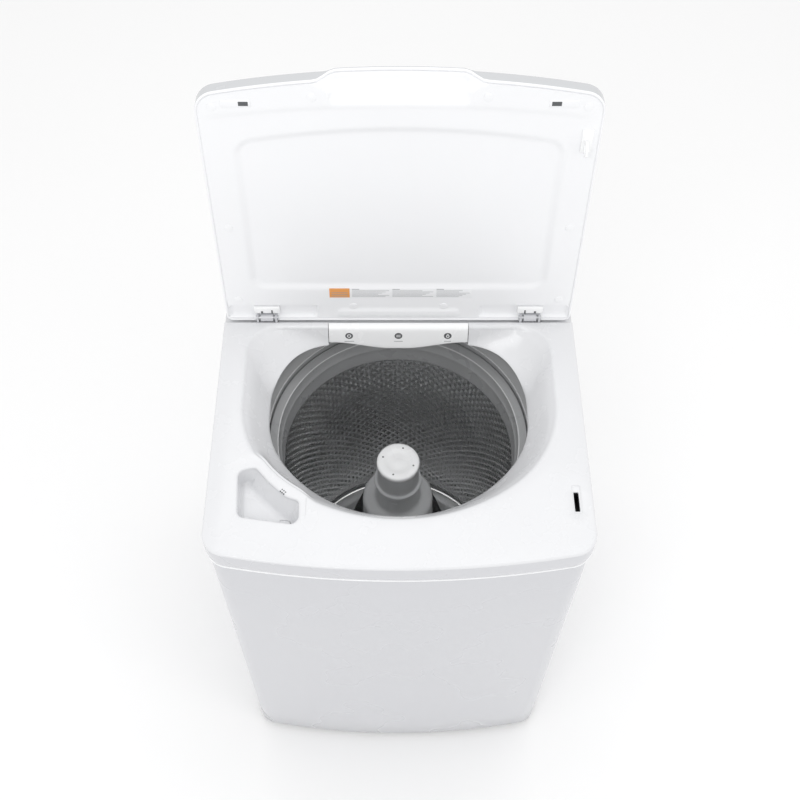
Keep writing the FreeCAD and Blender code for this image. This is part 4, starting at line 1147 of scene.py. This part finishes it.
def make_console_shell():
    """The console's rounded housing, with end caps drawn in a little and holes for its controls."""
    low, high = node_mm("console_shell")
    half = high[0]
    (y0, z0), (y1, z1) = low[1:], high[1:]
    section = ((y0, z0), (y0 + SLOPE_RUN, z0 + SLOPE_RISE), (y0 + 52.5, z1 - 2.6), (y0 + 57, z1 - 0.4),
               (y0 + 66, z1), (y1 - 14, z1), (y1 - 6, z1 - 2), (y1 - 1.6, z1 - 7), (y1, z1 - 14), (y1, z0))
    outline = [Vector(p) for p in section]
    left = ((-half, 5.0), (-half + 0.6, 2.6), (-half + 2.0, 0.9), (-half + 5.0, 0.0), (-half + 60, 0), (0, 0))
    rows = []
    for x, inward in left + tuple((-x, inward) for x, inward in reversed(left[:-1])):
        rows.append([(x, p.x, max(p.y, z0)) for p in offset(outline, -inward)])
    shell = Shape()
    rings = [shell.add(row) for row in rows]
    for a, b in zip(rings, rings[1:]):
        for i in range(1, len(outline)):        # the strip at 0 is the sloping face, filled below
            j = (i + 1) % len(outline)
            shell.faces.append((a[i], a[j], b[j], b[i]))
    shell.faces += [tuple(rings[0]), tuple(reversed(rings[-1]))]

    ends = half - 5
    border = [Vector(p) for p in ((-ends, 0), (ends, 0), (ends, FACE_LENGTH), (-ends, FACE_LENGTH))]
    holes = [[Vector((x + a, CONTROL_ROW + b)) for a, b in circle(radius, 40)]
             for x, radius in ((0, 9), *((x, 15) for x in BUTTONS))]
    face = Shape()
    face.fill([border] + holes, lambda x, y: 0, 40)
    shell.join(on_face(face.points), face.faces)
    for hole in holes:
        shell.rows([on_face([(p.x, p.y, out) for p in hole]) for out in (0.0, -3.0)], True)
    for x, strips in ((-ends, rows[3::-1]), (ends, rows[-4:])):
        shell.rows([on_face([(x, 0, 0), (x, FACE_LENGTH, 0)]), *(row[:2] for row in strips)])
    shell.make("console_housing", WHITE, replaces=["console_shell"], angle=34)


def make_knob_grip():
    """Finger ribs round the knob."""
    ribs = Shape()
    for i in range(36):
        angle = math.radians(10 * i + 5)
        u, v = math.cos(angle), math.sin(angle)
        rows = []
        for out, radius in ((5.2, 31.2), (6.0, 32.2), (16.5, 30.0), (18.4, 28.6)):
            rows.append(on_face([(radius * u - k * 0.9 * v, CONTROL_ROW + radius * v + k * 0.9 * u, out)
                                 for k in (-1, 1)]
                                + [((radius + 0.7) * u, CONTROL_ROW + (radius + 0.7) * v, out)]))
        ribs.close(ribs.rows(rows, True))
    ribs.make("knob_ribs", SILVER, "knob")


def make_rear_panel():
    """The back: a sheet with pressed ribs and louvres."""
    low, high = node_mm("rear_panel")
    outer = high[1]
    panel = Shape()

    def pressed(x, z):
        """How far the sheet is pressed out: tall ribs below, wide ones above, and a row of louvres."""
        ribs = max(soft_box(x, z, cx - 46, cx + 46, 150, 470, 18, 12) for cx in (-230, -77, 77, 230))
        ribs = max(ribs, *(0.8 * soft_box(x, z, cx - 74, cx + 74, 560, 790, 22, 12)
                           for cx in (-170, 10, 190)))
        return max(ribs, *(0.6 * soft_box(x, z, -50, 50, 64 + k * 12, 70 + k * 12, 3, 4) for k in range(6)))

    across = [low[0] + (high[0] - low[0]) * i / 110 for i in range(111)]
    upward = [low[2] + (high[2] - low[2]) * i / 220 for i in range(221)]
    panel.rows([[(x, outer - 0.4 + 4 * pressed(x, z), z) for x in across] for z in upward])
    thicken(panel.make("rear_sheet", ZINC, "cabinet", ["rear_panel"], 50), 0.8, 0)


# ---- cabinet

def make_cabinet():
    """The wrapped sheet of the case: sides, front and the folds at the back's edges."""
    low, high = node_mm("cabinet_wrap")
    inset = 5
    fold = 4
    rear = high[1]

    def path(side):
        half = SIDE - inset - side
        points = front_path(inset + side, rear - fold)
        right = arc_points((half - fold, rear - fold), fold, 0, 90, 5)[1:] + [Vector((306, rear))]
        left = [Vector((-p.x, p.y)) for p in reversed(right)]
        return left + points + right

    profile = ((14, low[2] + 0.2), (5, low[2]), (2.0, low[2] + 0.4), (0.6, low[2] + 1.6), (0, low[2] + 4),
               (0, 120), (0, 300), (0, 500), (0, 700), (0, high[2] - 3), (0.5, high[2] - 1),
               (1.6, high[2] - 0.1), (6, high[2]))
    shell = Shape()
    shell.rows(flat_rows(path, profile))
    # The case's enamel grey stands for its white paint in shade: painted shade.
    thicken(shell.make("cabinet_shell", PAINT, "cabinet", ["cabinet_wrap"]), 0.9, -1)


# ---- tub rings, basket and agitator

def make_rings():
    """The tub's upper ring, lighter beads on its two ridges that paint their highlights, and the basket's balance
    ring.
    """
    ring = Shape()
    ring.turned(raised((
        (288, -100), (288, -91), (287, -90), (274, -90.4), (268, -92.5), (261, -98), (256.5, -103.2),
        (254.2, -105), (253.2, -106), (252.6, -107.4), (252.5, -110), (252.4, -118), (252.4, -133),
        (252.8, -134.4), (253.8, -135), (255.5, -134.4), (257, -126), (262, -109), (270, -105)), TOP), 256)
    ring.make("tub_lip", GREY, "tub", ["tub_cover_ring"])

    # Beads in the lighter grey along the two ridges: painted highlight.
    edges = Shape()
    for radius, z in ((252.9, -106.6), (235.2, -124.5)):
        edges.turned([(radius + side, TOP + z + up) for side, up in bead(1.5, 1.3, 120, 30, 8)], 256)
    edges.make("ring_edges", RIDGE_HIGHLIGHT, "tub", (), 60)

    balance = Shape()
    balance.turned(raised((
        (251.0, -150), (251.3, -122), (250.9, -119.4), (249.4, -118.4), (246, -119.0), (238.6, -122.6),
        (236.4, -123.4), (235.4, -123.7), (234.5, -124.6), (234.2, -126.2), (234.6, -128.4), (234.2, -132),
        (233.2, -137), (231.8, -142), (230.6, -145.4), (229.5, -147), (228.9, -148.6), (228.8, -150.4),
        (229.3, -152.4), (229.1, -158), (228.3, -166), (227.3, -176), (226.6, -182), (226.3, -184.4),
        (226.9, -186), (228.5, -186.6), (236, -186.6), (236, -178)), TOP), 256)
    balance.make("balance_hoop", GREY, "basket", ["balance_ring"])


def make_basket():
    """The drum wall: rows of pressed bosses between small holes, as one sheet."""
    low, high = node_mm("basket_wall")
    inner = high[0] - 1.6
    around = 72             # cells round the drum
    rows = 24
    steps = 6               # quads across a cell
    start = low[2] + 16
    rise = (high[2] - 8 - start) / rows
    pitch = 2 * math.pi * inner / around
    hole = 0.86 * 1.25 * 0.8
    pierced = ((0, 1), (3, 4))
    drum = Shape()

    def relief(u, v):
        """How far the sheet is pressed out at a place in its cell, in mm."""
        return sum(3.6 * (1 - smooth(0.25, 1.25, math.hypot((u - cu) / 0.27, (v - cv) / 0.2)))
                   for cu, cv in ((0.5, 0.25), (0.0, 0.75), (1.0, 0.75)))

    def at(column, row, u, v):
        angle = 2 * math.pi * (column + u) / around
        radius = inner - relief(u, v)
        return (radius * math.cos(angle), TUB_Y + radius * math.sin(angle), start + rise * (row + v))

    def cell(column, row):
        """One cell's quads, two of them with a round hole."""
        index = {(i, j): drum.add([at(column, row, i / steps, j / steps)])[0]
                 for i in range(steps + 1) for j in range(steps + 1)}
        for i in range(steps):
            for j in range(steps):
                corners = (index[i, j], index[i + 1, j], index[i + 1, j + 1], index[i, j + 1])
                if (i, j) not in pierced:
                    drum.faces.append(corners)
                    continue
                turns = [math.radians(225 + 45 * k) for k in range(8)]
                spots = drum.add(at(column, row, (i + 0.5) / steps + hole / pitch * math.cos(t),
                                    (j + 0.5) / steps + hole / rise * math.sin(t)) for t in turns)
                for k in range(4):
                    a, b = corners[k], corners[(k + 1) % 4]
                    drum.faces.append((a, b, spots[(2 * k + 2) % 8], spots[2 * k + 1], spots[2 * k]))

    for row in range(rows):
        for column in range(around):
            cell(column, row)
    foot = [(inner, start), (inner, low[2] + 9), (inner - 0.6, low[2] + 4.5), (inner - 3, low[2] + 1.6),
            (inner - 7, low[2] + 0.6)]
    drum.turned(foot, around * steps)
    drum.turned([(inner, start + rise * rows), (inner, high[2] - 1)], around * steps)
    drum.make("drum_wall", STAINLESS, "basket", ["basket_wall"], 60)


def make_basket_floor():
    """The drum's cast floor: a hub, three pressed rings and two rings of holes, drawn as black discs that paint
    the shade beneath.
    """
    bottom = node_mm("basket_base")[0][2]
    floor = Shape()
    top = bottom + 18
    profile = [(20.1, 11.8), (36, 11.8), (42, 10.6), (46, 6), (52, 1.6), (60, 0.2)]
    for radius in (100, 150, 200):
        profile += [(radius, 0), (radius + 4, -1.4), (radius + 12, -1.4), (radius + 16, 0)]
    profile += [(231, 0), (232, -1), (232, -9), (230, -10), (92, -10), (62, -17.7), (20.1, -18)]
    floor.turned(raised(profile, top), 192)
    floor.make("drum_floor", CAST, "basket", ["basket_base"])
    holes = Shape()
    # Black discs in place of the holes: painted shade.
    for radius, count in ((130, 24), (182, 36)):
        for x, y in circle(radius, count):
            holes.turned(raised(((0.01, 0.1), (2.6, 0.1), (3.1, 0.25), (3.6, 0.1)), top), 16, (x, TUB_Y + y))
    holes.make("drum_floor_holes", BLACK, "basket")


FOOT = 268          # heights on the agitator: its skirt, its shoulder, its narrow neck's lip and its top
SHOULDER = 618
LIP = 688
CAP = 747


def make_agitator():
    stem = Shape()
    skirt = ((165, 0.5), (165.2, 4), (164.2, 6.8), (161, 9), (140, 16.5), (124, 22.5), (112, 36), (98, 62),
             (89, 92), (84, 124), (80.5, 165), (78, 202), (76, 245), (75.2, 290))
    shoulder = ((75.2, -20), (74.6, -12), (72.6, -7.6), (69.5, -5), (64, -2.8), (55, -0.6), (50.5, 0.8),
                (48, 3.6), (47, 8), (46.6, 20))
    lip = ((46.1, -16), (46.4, -12), (47.8, -9), (49.1, -6), (49.6, -3), (49.2, -0.6), (47.6, 0.6),
           (45.4, 0.6), (43.8, 1.8), (42.9, 5), (42.6, 12))
    neck = ((42.5, -0.6), (41.5, 0), (38.8, -0.4), (38.5, -47))
    stem.turned(raised(skirt, FOOT) + raised(shoulder, SHOULDER) + raised(lip, LIP) + raised(neck, CAP), 160)
    stem.make("agitator_body", STEM, "agitator_drive", ["agitator"], 45)


def make_vanes():
    """The agitator's six upright vanes."""
    lower = ((155, 6), (158.5, 9), (150, 24), (122, 52), (104, 110), (94, 202), (85, 290))
    upper = ((80, -24), (72, -20))
    behind = ((72, 290), (74, 202), (80, 124), (94, 62), (118, 22))
    outline = raised(lower, FOOT) + raised(upper, SHOULDER) + raised(behind, FOOT)
    loop = rounded(outline, (2, 4, 14, 30, 60, 80, 40, 4, 2, 20, 40, 40, 20, 4), 5)
    half = ((4.0, -3.6), (1.6, -3.2), (0.4, -2.2), (0, -0.8))
    profile = half + tuple((inward, -side) for inward, side in reversed(half))
    vanes = Shape()
    for turn in range(6):
        start = len(vanes.points)
        rings = vanes.rows([[(p.x, side, p.y) for p in offset(loop, -inward)]
                            for inward, side in profile], True)
        vanes.faces += [tuple(rings[0]), tuple(rings[-1])]
        place = Matrix.Translation((0, TUB_Y, 0)) @ Matrix.Rotation(math.radians(60 * turn + 30), 4, "Z")
        vanes.moved(lambda points: [place @ p for p in points], start)
    vanes.make("agitator_vanes", STEM, "agitator_drive", (), 50)


def make_cap():
    """The agitator's lift-off cap, with four small holes drawn as black discs that paint their shade."""
    cap = Shape()
    cap.turned(raised((
        (0.01, 10.6), (6, 10.3), (12, 9.6), (18, 9.2), (23, 9.8), (27, 11.2), (31, 11.9), (38, 12),
        (41.4, 11.5), (43.3, 9.9), (44, 7.4), (44, 1.6), (43.6, 0.7), (42.4, 0.5), (38, 0.5), (37.6, -3),
        (37.6, -20)), CAP), 128)
    cap.make("softener_lid", WHITE, "softener_cap", ["agitator_cap"])
    dots = Shape()
    # Black discs in place of the holes: painted shade.
    for angle in (72, 162, -18, -108):
        a = math.radians(angle)
        dots.turned(raised(((0.01, 12.05), (1.3, 12.05), (1.6, 12.2), (1.9, 11.8)), CAP), 20,
                    (32.5 * math.cos(a), TUB_Y + 32.5 * math.sin(a)))
    dots.make("softener_lid_holes", BLACK, "softener_cap")


def make_catch():
    """The small catch on the agitator's neck."""
    catch = Shape()
    catch.rows([[(p.x, p.y, LIP + height) for p in arc_points((0, TUB_Y), 46.3 + out, -106, -92, 12)]
                for height, out in ((-27, 0.1), (-27.4, 0.9), (-29, 0.9), (-29.4, 0.1))])
    catch.make("agitator_catch", STEM, "agitator_drive")


def make_springs():
    """The suspension's coil springs, made in place on no body."""
    low, high = node_mm("suspension_springs")
    springs = Shape()
    coil, wire = 14, 2.0
    reach = high[0] - coil - wire
    middle = (low[1] + high[1]) / 2
    spread = high[1] - coil - wire - middle
    turns, steps = 8, 28
    count = turns * steps
    first, last = smooth(-0.3, 1.3, 0), smooth(-0.3, 1.3, 1)
    for sx in (-1, 1):
        for sy in (-1, 1):
            route = []
            for i in range(count + 1):
                angle = 2 * math.pi * i / steps
                share = (smooth(-0.3, 1.3, i / count) - first) / (last - first)
                route.append((sx * reach + coil * math.cos(angle),
                              middle + sy * spread + coil * math.sin(angle),
                              between(low[2] + wire, high[2] - wire, share)))
            springs.tube(route, lambda i: wire, 8)
    piece = springs.make("coil_springs", TURNED, None, ["suspension_springs"], 60)
    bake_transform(piece)


def make_ribbed_hose():
    """The drain hose, ribbed, bending between the pump on the tub and the outlet in the back."""
    low, high = node_mm("drain_hose")
    radius = 12.5
    x = high[0] - radius
    bottom, top = low[2] + radius, high[2] - radius
    upright = 300           # y of the run up the back
    wide, tight = 50, 22    # radii of its bends
    route = [Vector((low[1], bottom)), *straight((low[1], bottom), (upright - wide, bottom), 100)]
    route += arc_points((upright - wide, bottom + wide), wide, -90, 0, 26)
    route += straight((upright, bottom + wide), (upright, top - tight), 200)
    route += arc_points((upright + tight, top - tight), tight, 180, 90, 12)
    route.append(Vector((high[1], top)))
    hose = Shape()
    hose.tube([(x, p.x, p.y) for p in route], lambda i: radius - (0.0, 0.5, 1.3, 0.5)[i % 4], 20)
    piece = hose.make("ribbed_hose", HOSE, None, ["drain_hose"], 60)
    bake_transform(piece)


make_springs()
make_ribbed_hose()
make_deck()
make_cup()
make_drawer()
make_drawer_tray()
make_drawer_marks()
make_lid()
make_lid_fittings()
make_console_shell()
make_console_marks()
make_knob_grip()
make_rear_panel()
make_cabinet()
make_rings()
make_basket()
make_basket_floor()
make_agitator()
make_vanes()
make_cap()
make_catch()


# ---- floor and light

def floor_material():
    material = new_material("floor", (0.97, 0.97, 0.97), 0.9)
    gloss = ranged(material, noise(material, coordinates(material), 3, 2), 0.9 * 0.95, 0.9 * 1.05)
    link(material, gloss, shader_of(material).inputs["Roughness"])
    return material


def make_stage():
    """A pale floor of 60 m and an even white world."""
    floor_mesh = bpy.data.meshes.new("floor")
    floor_mesh.from_pydata([(30 * a, 30 * b, 0) for a, b in CORNERS], [], [(0, 1, 2, 3)])
    floor_mesh.materials.append(floor_material())
    floor = bpy.data.objects.new("floor", floor_mesh)
    bpy.context.scene.collection.objects.link(floor)
    world = bpy.data.worlds.new("studio")
    world.use_nodes = True
    background = world.node_tree.nodes["Background"]
    background.inputs["Color"].default_value = (1, 1, 1, 1)
    background.inputs["Strength"].default_value = 0.89
    bpy.context.scene.world = world


def area_light(name, spot, target, width, height, power):
    """A soft lamp at spot, turned to target: metres and watts."""
    data = bpy.data.lights.new(name, "AREA")
    data.shape = "RECTANGLE"
    data.size = width
    data.size_y = height
    data.energy = power
    lamp = bpy.data.objects.new(name, data)
    lamp.location = spot
    lamp.rotation_euler = (Vector(target) - Vector(spot)).to_track_quat("-Z", "Y").to_euler()
    bpy.context.scene.collection.objects.link(lamp)


make_stage()
area_light("key", (-0.6, -1.8, 3.3), (0, 0.1, 0.9), 1.2, 1.0, 14)
area_light("fill", (2.2, -1.6, 2.8), (0, 0, 0.9), 1.6, 1.6, 5)
area_light("top", (0.2, 0.8, 4.0), (0, 0, 0.9), 2.4, 1.6, 16)
area_light("left", (-2.2, -1.5, 1.1), (-0.2, 0, 0.5), 0.4, 1.6, 2.5)
area_light("right", (2.2, -1.5, 1.1), (0.2, 0, 0.5), 0.4, 1.6, 2.5)
bpy.context.scene.view_settings.view_transform = "Standard"
